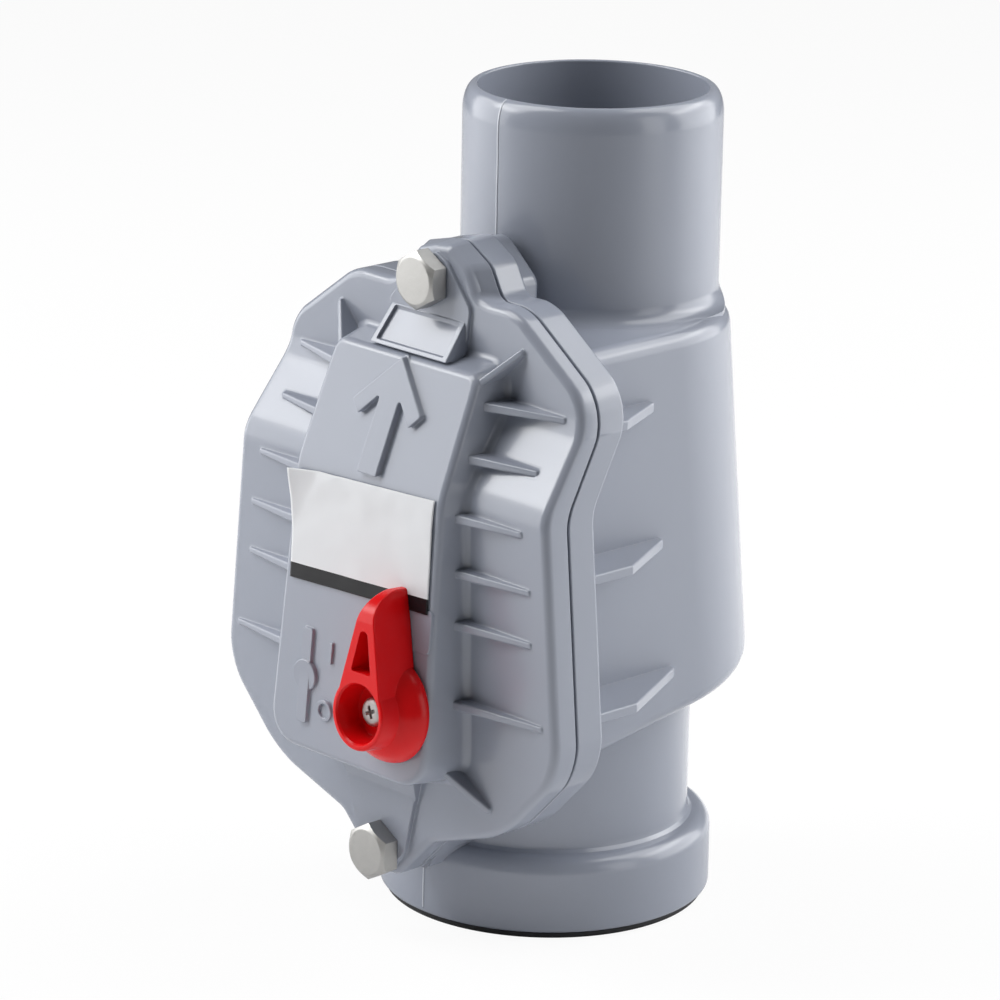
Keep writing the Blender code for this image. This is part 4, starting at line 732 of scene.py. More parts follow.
ribs = []
for height, tip, crest_level in COVER_RIBS:
    ground_at_tip = cover_level(0, height)
    for side in (-1, 1):
        outline = [(side * 19.0, height + RIB_HALF, 0), (side * tip, height + RIB_TIP_HALF, 0.5),
                   (side * tip, height - RIB_TIP_HALF, 0.5), (side * 19.0, height - RIB_HALF, 0)]
        ribs.append(raised(outline, cover_level, crest_between(21.0, crest_level, tip, ground_at_tip + 0.3),
                           foot=0.5, edge=0.42, lean=0.05))
print("cover ribs:", len(ribs))

# %% [markdown]
# Each corner of the panel has a thin diagonal fin: the same raised form on an outline that slants.

# %% Corner fins
FIN_FOOT = 0.35


def slanting_fin(start, tip, half_thickness, start_level, tip_level):
    """A thin fin from start to tip, both (x, z), whose crest falls between two levels."""
    a, b = Vector(start), Vector(tip)
    along = (b - a).normalized()
    across = Vector((-along.y, along.x)) * half_thickness
    tip_round = half_thickness * 0.8
    outline = [(*(a + across), 0), (*(b + across), tip_round), (*(b - across), tip_round), (*(a - across), 0)]

    def crest(x, z):
        share = (Vector((x, z)) - a).dot(along) / (b - a).length
        return start_level + (tip_level - start_level) * share
    return raised(outline, cover_level, crest, foot=FIN_FOOT, edge=min(0.4, half_thickness * 0.6), lean=0.03)


LOWER_FIN_LEVELS = {-1: 45.6, 1: 47.6}
fins = []
for side in (-1, 1):
    fins.append(slanting_fin((side * 18.5, 110.8), (side * 25.4, 118.0), 0.7, panel_level(0, 111.5) - 0.4,
                             COVER_HIGH_FRONT + 0.7))
    fins.append(slanting_fin((side * 19.0, 38.6), (side * 29.6, 31.6), 0.8, LOWER_FIN_LEVELS[side],
                             COVER_LOW_FRONT + 0.7))
print("fins:", len(fins))

# %% [markdown]
# The bolt heads bear on small raised faces. From the upper one a sloping pad runs down to the panel,
# with its middle sunk between two thin side walls.

# %% Bolt faces and sloping pad
FACE_RISE, LOWER_FACE_RISE = 0.8, 1.05
PAD_TOP, PAD_FOOT = 120.6, 114.3
PAD_HALF = 10.0
PAD_WEB = 1.1
PAD_SUNK = 0.3


def pad_level(x, z):
    """The pad's own slope, from the upper bolt's face to the panel's top edge."""
    share = (z - PAD_FOOT) / (PAD_TOP - PAD_FOOT)
    foot_level = panel_level(0, PAD_FOOT) - 0.1
    return foot_level + (COVER_HIGH_FRONT + FACE_RISE - foot_level) * min(1.0, share)


upper_corners = [(1.7, 132.5, 1.0), (4.7, 131.1, 3.0), (11.2, 123.3, 2.0), (PAD_HALF + 0.3, 116.0, 0),
                 (-PAD_HALF - 0.3, 116.0, 0), (-10.9, 121.4, 2.0), (-8.2, 124.4, 2.0), (-3.2, 130.4, 3.0)]
upper_face = raised(upper_corners, cover_level, lambda x, z: COVER_HIGH_FRONT + FACE_RISE,
                    foot=0.25, edge=0.25)
pad_corners = mirrored([(PAD_HALF, PAD_TOP, 0), (PAD_HALF + 0.5, PAD_FOOT - 0.6, 0)])
pad = raised(pad_corners, cover_level, pad_level, foot=0.3, edge=0.25, bends=[PAD_FOOT])
SUNK_HALF = PAD_HALF - PAD_WEB
sink_corners = mirrored([(SUNK_HALF, PAD_TOP - 0.3, 0.4), (SUNK_HALF + 0.4, PAD_FOOT + 0.1, 0.4)])
pad_sink = raised(sink_corners, behind(pad_level, PAD_SUNK), behind(pad_level, -2.0), foot=0, edge=0.1)

RAMP_FOOT, RAMP_SLOPE = 29.0, 0.36
RAMP_BELOW_FACE = 0.03


def ramp_level(x, z):
    """The facet that leads from the panel's foot down to the lower bolt's face."""
    return COVER_LOW_FRONT + LOWER_FACE_RISE - RAMP_BELOW_FACE + max(0.0, z - RAMP_FOOT) * RAMP_SLOPE


ramp_corners = mirrored([(11.3, 36.2, 0), (9.6, RAMP_FOOT - 0.8, 0)])
ramp = raised(ramp_corners, cover_level, ramp_level, foot=0.25, edge=0.2, bends=[RAMP_FOOT])
lower_face = raised(mirrored([(10.5, 33.0, 0), (6.8, 17.2, 2.0), (2.6, 12.2, 2.0)]), cover_level,
                    lambda x, z: COVER_LOW_FRONT + LOWER_FACE_RISE, foot=0.25, edge=0.25)
print("open edges of the faces, pad and ramp:", [open_edges(f) for f in (upper_face, pad, ramp, lower_face)])

# %% [markdown]
# Signs on the cover are raised too: the flow arrow on the panel's upper face, the lever's plan
# with its two end stops, and a small plain plate for the mould's own mark, which stays bare.

# %% Raised signs
ARROW_RISE = 1.3
SIGN_RISE = 0.7
MARK_RISE = 0.55
PLATE_RISE = 0.2


def on_panel(rise):
    return lambda x, z: panel_level(x, z) + rise


arrow_corners = [(0.2, 113.1, 0.5), (9.6, 104.0, 0.4), (7.2, 101.5, 0.4), (2.9, 105.8, 0.2), (2.9, 91.9, 0.3),
                 (-2.5, 91.9, 0.3), (-2.5, 105.8, 0.2), (-6.8, 101.5, 0.4), (-9.2, 104.0, 0.4)]
arrow = raised(arrow_corners, panel_level, on_panel(ARROW_RISE), foot=0.3, edge=0.3, bends=BENDS, fine=3)

signs = [arrow]
bar = [(-10.9, 59.3, 0.6), (-10.9, 40.8, 0.6), (-13.7, 40.8, 0.6), (-13.7, 59.3, 0.6)]
signs.append(raised(bar, panel_level, on_panel(SIGN_RISE), foot=0.2, edge=0.2, fine=2))
pivot_profile = [(0, -0.6), (3.1, -0.6), (3.1, SIGN_RISE - 0.15), (2.95, SIGN_RISE), (0, SIGN_RISE)]
pivot = placed(turned(pivot_profile, 40), Matrix.Translation((-12.3, 50.0, panel_level(0, 50.0))))
signs.append(pivot)
open_mark = [(-5.3, 57.9, 0.15), (-5.3, 53.7, 0.15), (-6.1, 53.7, 0.15), (-6.1, 57.9, 0.15)]
signs.append(raised(open_mark, panel_level, on_panel(MARK_RISE), foot=0.12, edge=0.12, fine=2))
closed_mark = turned([(1.35, -0.5), (2.15, -0.5), (2.1, MARK_RISE - 0.1), (2.0, MARK_RISE), (1.5, MARK_RISE),
                      (1.4, MARK_RISE - 0.1)], 40, ring=True)
signs.append(placed(closed_mark, Matrix.Translation((-6.3, 44.4, panel_level(0, 44.4)))))
bare_plate = [(20.6, 70.2, 1.1), (20.6, 61.8, 1.1), (12.6, 61.8, 1.1), (12.6, 70.2, 1.1)]
signs.append(raised(bare_plate, panel_level, on_panel(PLATE_RISE), foot=0.1, edge=0.12, fine=2))
print("signs:", len(signs))

# %% Join the cover
cover = joined(cover, panel)
pad = cut(pad, pad_sink)
print("cover and sunk pad, open edges:", open_edges(cover), open_edges(pad))

# %% [markdown]
# Behind, the cover is a shell: the panel is hollow, the plate is thinned over the body's opening,
# and a round boss carries the lever's shaft. The hollows are cut as forms of their own.

# %% Hollow the cover
COVER_WALL = 2.8
LEVER_AT = Vector((12.7, -panel_level(0, 49.7), 49.7))
PANEL_TURN = Matrix.Rotation(math.radians(90) - math.atan(PANEL_LOWER_SLOPE), 4, "X")
LEVER_PLACE = Matrix.Translation(LEVER_AT) @ PANEL_TURN
SHAFT_BORE = 5.3
BOSS_RADIUS = 7.9
BOSS_DEPTH = 8.0
BOLT_BORE = 3.3

hollow_corners = [(x, y, radius + 2.0) for x, y, radius in moved_corners(hollow_outline, -COVER_WALL)]
hollow = raised(hollow_corners, behind(parting_level, 4.0), behind(panel_level, COVER_WALL),
                foot=0, edge=0.8, lean=0.9, bends=BENDS, steps=6)
opening_corners = mirrored([(29.2, 113.5, 4.0), (29.2, 42.5, 4.0)])
thinned = draped_plate(opening_corners, behind(cover_level, COVER_WALL), behind(parting_level, 6.0), 0.5, 0)
cover = cut(cut(cover, hollow), thinned)
print("hollow cover, open edges:", open_edges(cover))
cover = placed(cover, FACING_COVER)
boss = placed(rod(BOSS_RADIUS, -BOSS_DEPTH, -1.0, 64), LEVER_PLACE)
cover = joined(cover, boss)
print("cover with boss, open edges:", open_edges(cover))
bore = placed(rod(SHAFT_BORE, -30, 10, 64), LEVER_PLACE)


def on_bolt_axis(height, front):
    """The place on a bolt's axis at a level, facing the cover's front."""
    return Matrix.Translation((0, -front, height)) @ FACING_COVER


bolt_bores = [placed(rod(BOLT_BORE, -30, 10, 48), on_bolt_axis(height, front))
              for height, front in ((UPPER_BOLT, COVER_HIGH_FRONT), (LOWER_BOLT, COVER_LOW_FRONT))]
cover = cut(cover, bore, *bolt_bores)
raised_forms = [upper_face, pad, ramp, lower_face] + ribs + fins + signs
cover = set_into(cover, *[placed(form, FACING_COVER) for form in raised_forms])
finish_piece(cover, "cover_shell", grey_plastic, "valve", ["cover"])

# %% [markdown]
# The body is one moulding. Its housing is a U in plan whose back leans outwards on the way down:
# a block drawn in plan and sheared gives that at once. The floor slants, so a plane cuts it, and the
# rim that the cut leaves is rounded.

# %% Housing
HOUSING_HALF = 33.0
HOUSING_TOP = 117.4
BACK_LEAN = 0.107
FLOOR_LEVEL = 40.0
FLOOR_SLOPE = 0.158
HOUSING_WALL = 2.8
CUT_ROOM = 14


def housing(inset, front, floor, top, top_edge, foot_edge):
    """The leaning U-shaped box between a slanting floor and a level top."""
    half = HOUSING_HALF - inset
    nearly_half = half - 0.02
    bm = flat_face([(-half, -front, 0), (half, -front, 0), (half, half, nearly_half),
                    (-half, half, nearly_half)], 20)
    bmesh.ops.translate(bm, vec=(0, 0, floor - CUT_ROOM), verts=bm.verts)
    pushed_up(bm, top - floor + CUT_ROOM)
    lean = Matrix.Identity(4)
    lean[1][2] = -BACK_LEAN
    lean[1][3] = BACK_LEAN * HOUSING_TOP
    bm.transform(lean)
    everything = bm.verts[:] + bm.edges[:] + bm.faces[:]
    cut_made = bmesh.ops.bisect_plane(bm, geom=everything, plane_co=(0, 0, floor),
                                      plane_no=(0, -FLOOR_SLOPE, 1), clear_inner=True)
    rim = [e for e in cut_made["geom_cut"] if isinstance(e, bmesh.types.BMEdge)]
    bmesh.ops.edgeloop_fill(bm, edges=rim)
    face_outwards(bm)
    if top_edge > 0:
        round_edges(bm, rim_at(bm, top), top_edge, 5)
    if foot_edge > 0:
        foot = [e for e in bm.edges
                if all(abs(v.co.z - floor - FLOOR_SLOPE * v.co.y) < 0.01 for v in e.verts)]
        round_edges(bm, foot, foot_edge, 6)
    return bm


body = housing(0, 42.0, FLOOR_LEVEL, HOUSING_TOP, 3.0, 3.6)
parting_clear = placed(draped_plate([(-60, -20, 0), (60, -20, 0), (60, 170, 0), (-60, 170, 0)],
                                    lambda x, z: 90.0, behind(parting_level, 1.0), 0, 0), FACING_COVER)
body = cut(body, parting_clear)
flange_back = behind(parting_level, FLANGE_THICKNESS)
flange = placed(draped_plate(flange_corners, parting_level, flange_back, 0.25, 0.9), FACING_COVER)
print("housing and flange, open edges:", open_edges(body), open_edges(flange))

# %% [markdown]
# The pipe ends are turned. The spigot has a rounded rim and flares into the housing's top. The
# socket's collar is a ring with a soft shoulder below a slightly narrower tube.

# %% Spigot, inlet tube and collar
SPIGOT_RADIUS = 25.0
SPIGOT_BORE = 22.2
SPIGOT_Y = 8.8
SPIGOT_TOP = 158.6
RIM_EDGE = 0.4
RIM_INSET = SPIGOT_RADIUS - SPIGOT_BORE - RIM_EDGE
RIM_FALL = 5.0
FLARE = 3.2
COLLAR_RADIUS = 32.6
TUBE_RADIUS = 28.0
AT_SPIGOT = Matrix.Translation((0, SPIGOT_Y, 0))


def spigot_end(steps=12):
    """The quarter ellipse that rounds the spigot's end."""
    return [(SPIGOT_BORE + RIM_EDGE + RIM_INSET * math.cos(math.radians(90 * i / steps)),
             SPIGOT_TOP - RIM_FALL + RIM_FALL * math.sin(math.radians(90 * i / steps)))
            for i in range(steps + 1)]


spigot_profile = [(SPIGOT_BORE - 1.0, HOUSING_TOP - 6), (SPIGOT_RADIUS, HOUSING_TOP - 6),
                  (SPIGOT_RADIUS, HOUSING_TOP - 1), (SPIGOT_RADIUS, HOUSING_TOP + FLARE)]
spigot_profile += spigot_end() + [(SPIGOT_BORE - 1.0, SPIGOT_TOP)]
spigot = placed(turned(spigot_profile, 128, ring=True), AT_SPIGOT)
flare_profile = [(SPIGOT_BORE, HOUSING_TOP - 0.8), (SPIGOT_RADIUS + FLARE, HOUSING_TOP - 0.8)]
flare_profile += arc((SPIGOT_RADIUS + FLARE, HOUSING_TOP + FLARE), FLARE, 270, 180, 7)
flare_profile += [(SPIGOT_BORE, HOUSING_TOP + FLARE)]
flare_bounds = housing(0.9, 32.0, HOUSING_TOP - 10, HOUSING_TOP + 8, 0, 0)
flare_ring = kept(placed(turned(flare_profile, 128, ring=True), AT_SPIGOT), flare_bounds)
shoulder = arc((COLLAR_RADIUS - 3.4, 11.6), 3.4, 0, 78, 7)
collar_profile = [(15, 0), (COLLAR_RADIUS - 0.8, 0)] + arc((COLLAR_RADIUS - 0.8, 0.8), 0.8, 270, 360, 3)[1:]
collar_profile += shoulder + [(TUBE_RADIUS + 0.9, 15.0), (TUBE_RADIUS + 0.25, 15.6), (TUBE_RADIUS, 16.6),
                              (TUBE_RADIUS, 46.0), (15, 46.0)]
socket = turned(collar_profile, 128, ring=True)
socket_top = housing(1.0, 30.0, FLOOR_LEVEL + 1.0, HOUSING_TOP + 5, 0, 0)
socket = cut(socket, socket_top)
print("spigot, socket, open edges:", open_edges(spigot), open_edges(socket))

# %% [markdown]
# Behind the cover's lugs the body has bosses for the bolts: the upper one is a rounded hexagon that
# runs back to the spigot, the lower one runs back to the inlet tube. Three ribs on either side stiffen
# the flange against the housing.

# %% Bosses and side ribs
upper_boss = placed(block([(4.6, 134.4, 3.2), (13.0, 127.0, 2.6), (13.0, 112.0, 0), (-11.2, 112.0, 0),
                           (-10.2, 125.6, 2.6), (-2.6, 132.4, 3.2)], 17.0, 27.4, 0, 1.4), FACING_COVER)
lower_boss = placed(block(mirrored([(9.6, 25.0, 0), (8.0, 15.9, 2.0), (4.4, 11.2, 2.0)]), 25.0, 36.0),
                    FACING_COVER)
BODY_RIBS = [(105.7, 41.2, -7.3, 24.0), (78.3, 43.6, -3.9, 33.0), (51.8, 45.6, 0.2, 33.0)]
RIB_THICKNESS = 2.0
RIB_FLAT_END = -20.0
body_ribs = []
for top, outer, wall_end, front in BODY_RIBS:
    for side in (-1, 1):
        plan = [(side * 32.0, -front, 0), (side * (outer - 1.2), -front, 0),
                (side * (outer - 1.2), RIB_FLAT_END, 0.6), (side * 34.3, wall_end, 0.6),
                (side * 32.0, wall_end + 0.3, 0)]
        body_ribs.append(block(plan, top - RIB_THICKNESS, top, 0.35, 0.35))
body = joined(body, flange, spigot, flare_ring, socket, upper_boss, lower_boss, *body_ribs)
print("body, open edges:", open_edges(body))

# %% [markdown]
# Inside, the body has a chamber for the flap, a bore up the spigot, a passage below with a raised
# seat round it, and the seal's chamber in the collar. The hinge's ears stand on the chamber's floor.

# %% Hollow the body
PASSAGE_RADIUS = 22.2
HINGE = Vector((0, -31.5, 46.0))
FLOOR_TURN = Matrix.Rotation(math.atan(FLOOR_SLOPE), 4, "X")
INSIDE_FLOOR = FLOOR_LEVEL + HOUSING_WALL
EAR_INSIDE, EAR_THICKNESS = 19.6, 3.2
FACING_SIDE = Matrix(((0, 0, 1, 0), (1, 0, 0, 0), (0, 1, 0, 0), (0, 0, 0, 1)))

chamber = housing(HOUSING_WALL, 60.0, INSIDE_FLOOR, HOUSING_TOP - HOUSING_WALL, 1.2, 1.2)
spigot_bore = turned([(0, HOUSING_TOP - 20), (SPIGOT_BORE, HOUSING_TOP - 20)]
                     + arc((SPIGOT_BORE + RIM_EDGE, SPIGOT_TOP - RIM_EDGE), RIM_EDGE, 180, 98, 4)
                     + [(SPIGOT_BORE + RIM_EDGE, SPIGOT_TOP + 5), (0, SPIGOT_TOP + 5)], 128)
body = cut(body, chamber, placed(spigot_bore, AT_SPIGOT))
seat_profile = [(PASSAGE_RADIUS, -2.2), (25.5, -2.2), (25.5, 1.5), (25.0, 1.97), (PASSAGE_RADIUS, 1.97)]
seat = placed(turned(seat_profile, 96, ring=True), Matrix.Translation((0, 0, INSIDE_FLOOR)) @ FLOOR_TURN)
ear_foot = INSIDE_FLOOR + FLOOR_SLOPE * HINGE.y - 1.0 - HINGE.z
ear_corners = [(-3.2, ear_foot, 0), (-3.2, 3.2, 3.1), (3.2, 3.2, 3.1), (3.9, ear_foot, 0)]
hinge_line = Matrix.Translation(HINGE) @ Matrix.Rotation(math.radians(90), 4, "Y")
ears = []
for inner in (-EAR_INSIDE - EAR_THICKNESS, EAR_INSIDE):
    ear = placed(block(ear_corners, 0, EAR_THICKNESS, 0.3, 0.3),
                 Matrix.Translation((inner, HINGE.y, HINGE.z)) @ FACING_SIDE)
    ears.append(cut(ear, placed(rod(1.8, -28, 28, 32), hinge_line)))
body = cut(body, rod(PASSAGE_RADIUS, 32, 66), rod(25.2, 8.5, 33.0), rod(30.0, -10, 9.5))
print("hollow body, open edges:", open_edges(body))

# %% Bolt bores and nut pockets
HEAD_FLATS = 10.0
NUT_POCKET_FLATS, NUT_POCKET_DEPTH = 10.2, 5.1


def hexagon(flats, turn=0.0):
    """The corners of a hexagon from its width across flats."""
    reach = flats / math.sqrt(3)
    angles = [math.radians(60 * i + turn) for i in range(6)]
    return [(reach * math.cos(angle), reach * math.sin(angle), 0) for angle in angles]


pockets = []
for height, front, depth in ((UPPER_BOLT, PARTING_HIGH_FRONT, 9.0), (LOWER_BOLT, PARTING_LOW_FRONT, 6.5)):
    at_face = on_bolt_axis(height, front)
    pockets.append(placed(block(hexagon(NUT_POCKET_FLATS), -NUT_POCKET_DEPTH, 4.0), at_face))
    pockets.append(placed(rod(BOLT_BORE, -depth, 4.0, 32), at_face))
body = cut(body, *pockets)
print("body with nut pockets, open edges:", open_edges(body))

# %% [markdown]
# The two halves of the mould leave a fine raised seam where they met, on the spigot's and the collar's front.
# Its pale colour is a painted highlight, standing in for the bright line that the thin ridge catches from the
# lamps. It is a thin strip drawn along the pipe's own profile, so it climbs over the roundings, and it wavers
# a little, as a worn mould's edge does.

# %% Mould seams
SEAM_HALF, SEAM_RISE, SEAM_WAVER = 0.2, 0.12, 0.10


def seam(profile, middle_y):
    """A thin strip that stands proud of a pipe's front along a profile of (radius, height) points."""
    corners = [(radius + SEAM_RISE, height, 0) for radius, height in profile]
    corners += [(radius - 0.6, height, 0) for radius, height in reversed(profile)]
    strip = block(corners, -SEAM_HALF, SEAM_HALF, 0.09, 0.09)
    cut_across(strip, range(int(profile[0][1]) + 1, int(profile[-1][1]), 2))
    for v in strip.verts:
        v.co.z += SEAM_WAVER * noise.noise(Vector((0, v.co.y * 0.16, middle_y)))
    across_front = Matrix(((0, 0, 1, 0), (-1, 0, 0, middle_y), (0, 1, 0, 0), (0, 0, 0, 1)))
    return placed(strip, across_front)


spigot_front = [(SPIGOT_RADIUS, 132.0), (SPIGOT_RADIUS, 145.0)] + spigot_end()[:-1]
collar_front = [(COLLAR_RADIUS, 1.2), (COLLAR_RADIUS, 6.0)] + shoulder
tube_front = [(TUBE_RADIUS, 17.0), (TUBE_RADIUS, 30.0)]
body = set_into(body, seat, *ears)
finish_piece(body, "body_moulding", grey_plastic, "valve", ["valve_body"])
seams = set_into(seam(spigot_front, SPIGOT_Y), seam(collar_front, 0.0), seam(tube_front, 0.0))
# The seams get the pale grey of a painted highlight.
finish_piece(seams, "mould_seams", seam_painted_highlight, "valve")

# %% [markdown]
# The lever is the bright piece that a hand turns, moulded in glossy red. Its round base carries a
# cup for the screw, and the pointer tapers to a shoulder and then falls in a curve to its tip. The
# base and cup are turned, the pointer is a raised form whose crest follows that curve.

# %% Lever
LEVER_HEIGHT = 9.6
LEVER_LOW = 0.4
CUP_FLOOR = 4.4
SHOULDER_REACH, TIP_REACH = 17.4, 23.5
TIP_HEIGHT = 1.3


def pointer_crest(x, y):
    if y <= SHOULDER_REACH:
        return LEVER_HEIGHT
    share = min(1.0, (y - SHOULDER_REACH) / (TIP_REACH - SHOULDER_REACH))
    return TIP_HEIGHT + (LEVER_HEIGHT - TIP_HEIGHT) * math.sqrt(1 - share ** 2 * 0.96)


base_profile = [(0, LEVER_LOW), (9.7, LEVER_LOW)] + arc((9.7, LEVER_LOW + 0.45), 0.45, 270, 350, 3)[1:]
base_profile += arc((4.6, 0.4), 5.62, 7, 64, 9)
base_profile += [(6.95, LEVER_HEIGHT - 0.5)] + arc((6.45, LEVER_HEIGHT - 0.5), 0.5, 0, 90, 4)
base_profile += [(0, LEVER_HEIGHT)]
lever = turned(base_profile, 96)
pointer_corners = [(-6.1, 2.0, 0), (-2.45, SHOULDER_REACH + 0.4, 2.5), (-0.9, TIP_REACH, 0.6),
                   (0.9, TIP_REACH, 0.6), (2.45, SHOULDER_REACH + 0.4, 2.5), (6.1, 2.0, 0)]
pointer = raised(pointer_corners, lambda x, y: LEVER_LOW + 0.5, pointer_crest, foot=0,
                 edge=0.3, lean=0.05, bends=[16.8 + 0.45 * i for i in range(15)], steps=6)
lever = joined(lever, pointer)
ABOVE_LEVER = LEVER_HEIGHT + 2
cup = turned([(0, CUP_FLOOR), (5.1, CUP_FLOOR), (5.3, CUP_FLOOR + 0.3), (5.65, LEVER_HEIGHT - 0.4),
              (6.0, LEVER_HEIGHT + 0.05), (6.0, ABOVE_LEVER), (0, ABOVE_LEVER)], 96)
window = block([(-2.7, 7.9, 0.5), (2.7, 7.9, 0.5), (0.95, 15.9, 0.85), (-0.95, 15.9, 0.85)],
               CUP_FLOOR, ABOVE_LEVER)
square_hole = block([(-2.9, -2.9, 0), (2.9, -2.9, 0), (2.9, 2.9, 0), (-2.9, 2.9, 0)], -1, 3.0)
lever = cut(lever, cup, window, square_hole, rod(1.5, -1, 8, 32))
finish_piece(placed(lever, LEVER_PLACE), "lever_moulding", red_plastic, "lever", ["lever"])

# %% [markdown]
# The lever's screw has a pan head with a cross recess: a turned head, cut by two tapering blades.

# %% Lever screw
SCREW_SEAT = CUP_FLOOR + 0.3
HEAD_RADIUS = 2.8
HEAD_HEIGHT = 1.6
HEAD_TOP = SCREW_SEAT + HEAD_HEIGHT

screw = turned([(0, -2.6), (0.85, -2.6), (1.2, -2.2), (1.2, SCREW_SEAT), (HEAD_RADIUS - 0.1, SCREW_SEAT),
                (HEAD_RADIUS, SCREW_SEAT + 0.15), (HEAD_RADIUS, SCREW_SEAT + 0.5)]
               + arc((HEAD_RADIUS - 1.1, HEAD_TOP - 1.1), 1.1, 12, 80, 6)
               + [(1.0, HEAD_TOP - 0.01), (0, HEAD_TOP)], 64)
blades = []
for quarter in (0, 90):
    blade = block([(-1.5, -0.36, 0.1), (1.5, -0.36, 0.1), (1.5, 0.36, 0.1), (-1.5, 0.36, 0.1)],
                  HEAD_TOP - 1.1, HEAD_TOP + 0.5)
    for v in blade.verts:
        if v.co.z < HEAD_TOP:
            v.co.x *= 0.55
            v.co.y *= 0.75
    blades.append(placed(blade, Matrix.Rotation(math.radians(quarter + 24), 4, "Z")))
screw = cut(screw, *blades)
finish_piece(placed(screw, LEVER_PLACE), "lever_screw_head", stainless_steel, "lever",
             ["lever_screw"])

# %% [markdown]
# The two bolts have hexagon heads. The chamfer that rounds a hexagon's corners is a cone, so the
# head is what a hexagon and a cone share, and a turned shank joins it.

# %% Bolts
BOLT_HEAD_HEIGHT = 3.8
BOLT_RADIUS = 3.0
HEAD_TURN = 30


def bolt(height, front, length):
    """A hexagon bolt whose head bears on its face of the cover."""
    head = block(hexagon(HEAD_FLATS, HEAD_TURN), 0, BOLT_HEAD_HEIGHT)
    corner = HEAD_FLATS / math.sqrt(3)
    cone = turned([(0, -1), (corner - 0.15, -1), (corner + 0.3, 0.35),
                   (corner + 0.3, BOLT_HEAD_HEIGHT - 1.15), (HEAD_FLATS / 2 - 0.4, BOLT_HEAD_HEIGHT - 0.1),
                   (HEAD_FLATS / 2 - 0.65, BOLT_HEAD_HEIGHT), (0, BOLT_HEAD_HEIGHT)], 72)
    head = kept(head, cone)
    shank = turned([(0, -length), (BOLT_RADIUS - 0.5, -length), (BOLT_RADIUS, -length + 0.5),
                    (BOLT_RADIUS, 1.0), (0, 1.0)], 48)
    return placed(joined(head, shank), on_bolt_axis(height, front + FACE_RISE + 0.3))


for place, height, front, length in (("upper", UPPER_BOLT, COVER_HIGH_FRONT, 14.0),
                                     ("lower", LOWER_BOLT, COVER_LOW_FRONT, 13.0)):
    finish_piece(bolt(height, front, length), place + "_hexagon_bolt", stainless_steel, "valve",
                 [place + "_bolt"], sharp=24)

# %% [markdown]
# The label is a thin film, stuck on by hand: it sits a little askew, its upper left corner has come
# off the panel, and small waves run through it. A fine grid is moved point by point with noise and
# then given its thickness. Its print is left off, apart from the plain dark band along its foot.

# %% Label film
LABEL_WIDTH, LABEL_HEIGHT = 38.3, 21.4
LABEL_FOOT = 68.6
LABEL_TURN = math.radians(2.4)
BAND_HEIGHT = 2.9
FILM_THICKNESS = 0.00013
PEEL_LIFT = 3.4

film = bmesh.new()
film.loops.layers.uv.new("UVMap")
bmesh.ops.create_grid(film, x_segments=96, y_segments=54, size=0.5, calc_uvs=True)
for v in film.verts:
    across, up = v.co.x + 0.5, v.co.y + 0.5
    flat = Vector(((across - 0.5) * LABEL_WIDTH, up * LABEL_HEIGHT))
    turned_flat = Matrix.Rotation(LABEL_TURN, 2) @ flat
    x, z = turned_flat.x + 0.4, turned_flat.y + LABEL_FOOT
    peel = max(0.0, up - across * 3.2 - 0.42)
    broad_wave = 0.16 * noise.noise(Vector((across * 4.0, up * 3.0, 0.4)))
    small_wave = 0.10 * noise.noise(Vector((across * 9.0, up * 6.0, 2.0)))
    lift = 0.34 + (broad_wave + small_wave) * (0.25 + up) + PEEL_LIFT * peel ** 1.5
    v.co = Vector((x - 1.6 * peel, z - 0.6 * peel, panel_level(x, z) + lift))
bmesh.ops.recalc_face_normals(film, faces=film.faces)
if sum(f.normal.z for f in film.faces) < 0:
    bmesh.ops.reverse_faces(film, faces=film.faces)
film = placed(film, FACING_COVER)
label_material, film_tree, film_shader = new_material("label_film")
film_shader.inputs["Roughness"].default_value = 0.3
film_shader.inputs["Specular IOR Level"].default_value = 0.25
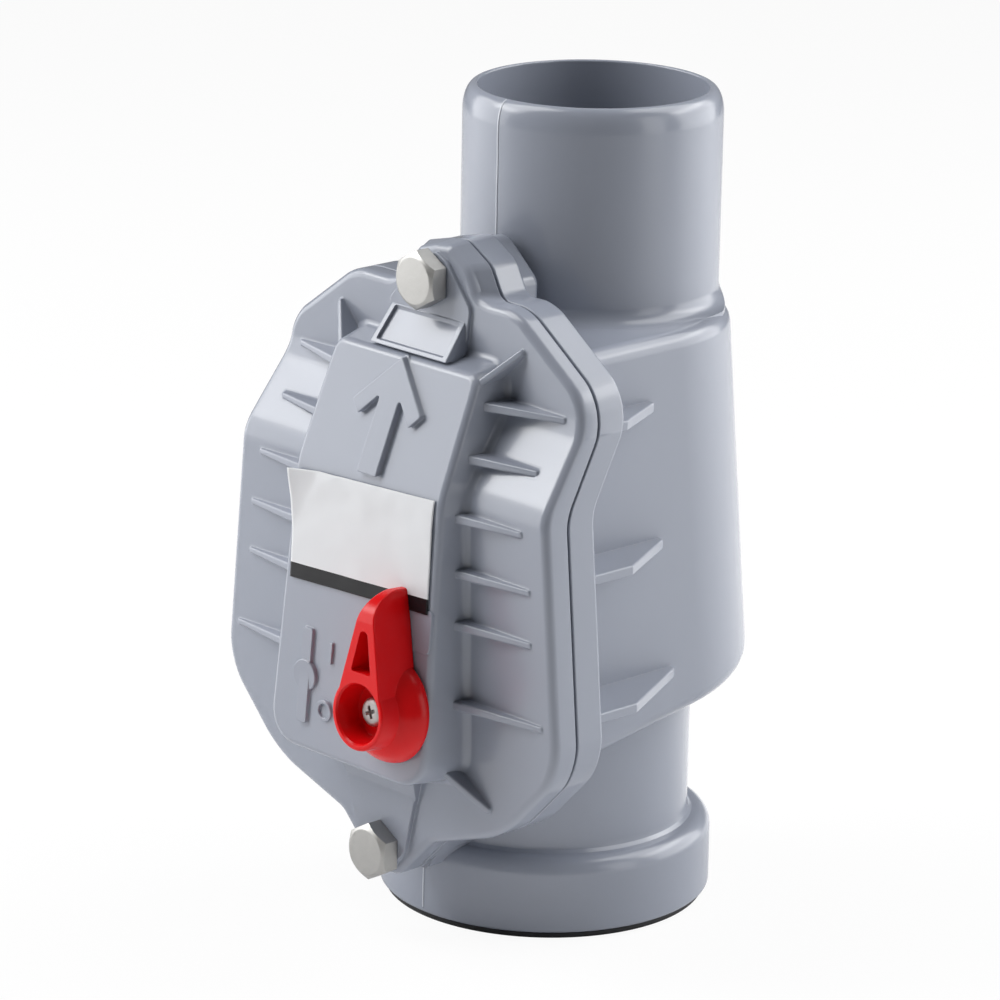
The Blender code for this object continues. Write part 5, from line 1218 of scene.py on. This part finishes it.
film_place = film_tree.nodes.new("ShaderNodeUVMap")
film_place.uv_map = "UVMap"
film_split = film_tree.nodes.new("ShaderNodeSeparateXYZ")
film_colour = film_tree.nodes.new("ShaderNodeMix")
film_colour.data_type = "RGBA"
film_colour.inputs["A"].default_value = (0.68, 0.69, 0.71, 1)
film_colour.inputs["B"].default_value = (0.010, 0.010, 0.012, 1)
film_tree.links.new(film_place.outputs["UV"], film_split.inputs["Vector"])
film_band = computed(film_tree, "LESS_THAN", film_split.outputs["Y"], BAND_HEIGHT / LABEL_HEIGHT)
film_tree.links.new(film_band, film_colour.inputs["Factor"])
film_tree.links.new(film_colour.outputs["Result"], film_shader.inputs["Base Color"])
label_piece = finish_piece(film, "label_sheet", label_material, "valve", ["label"], sharp=80)
label_piece.modifiers.clear()
thickness = label_piece.modifiers.new("thickness", "SOLIDIFY")
thickness.thickness = FILM_THICKNESS
thickness.offset = 1.0

# %% [markdown]
# The seal below the collar is soft black rubber. It is turned from a profile with a lip inside and
# a foot that the valve stands on.

# %% Socket seal
seal_profile = [(26.4, -1.4), (31.0, -1.4)] + arc((31.0, -0.9), 0.5, 270, 360, 3)[1:]
seal_profile += [(31.5, -0.3), (29.7, -0.3), (29.7, 9.2), (28.1, 9.2), (27.7, 5.1), (24.6, 6.6), (24.6, 5.5),
                 (26.6, 2.0)]
seal = turned(seal_profile, 128, ring=True)
finish_piece(seal, "socket_lip_seal", black_rubber, "valve", ["socket_seal"])

# %% [markdown]
# The pieces inside keep the imported model's shapes. Each gets one of the materials above, from a table of
# their names.

# %% Finishes of the inner pieces
INNER = {
    black_plastic: ["flap", "flap_retainer", "lever_shaft", "locking_cam"],
    black_rubber: ["flap_seal", "cover_gasket", "outer_o_ring", "inner_o_ring"],
    stainless_steel: ["flap_screw", "cam_screw", "hinge_pin", "hinge_clip", "upper_nut", "lower_nut"],
}
for material, names in INNER.items():
    for name in names:
        node = frame["nodes"][name]
        node.data.materials.clear()
        node.data.materials.append(material)
print("inner pieces finished:", sum(len(names) for names in INNER.values()))
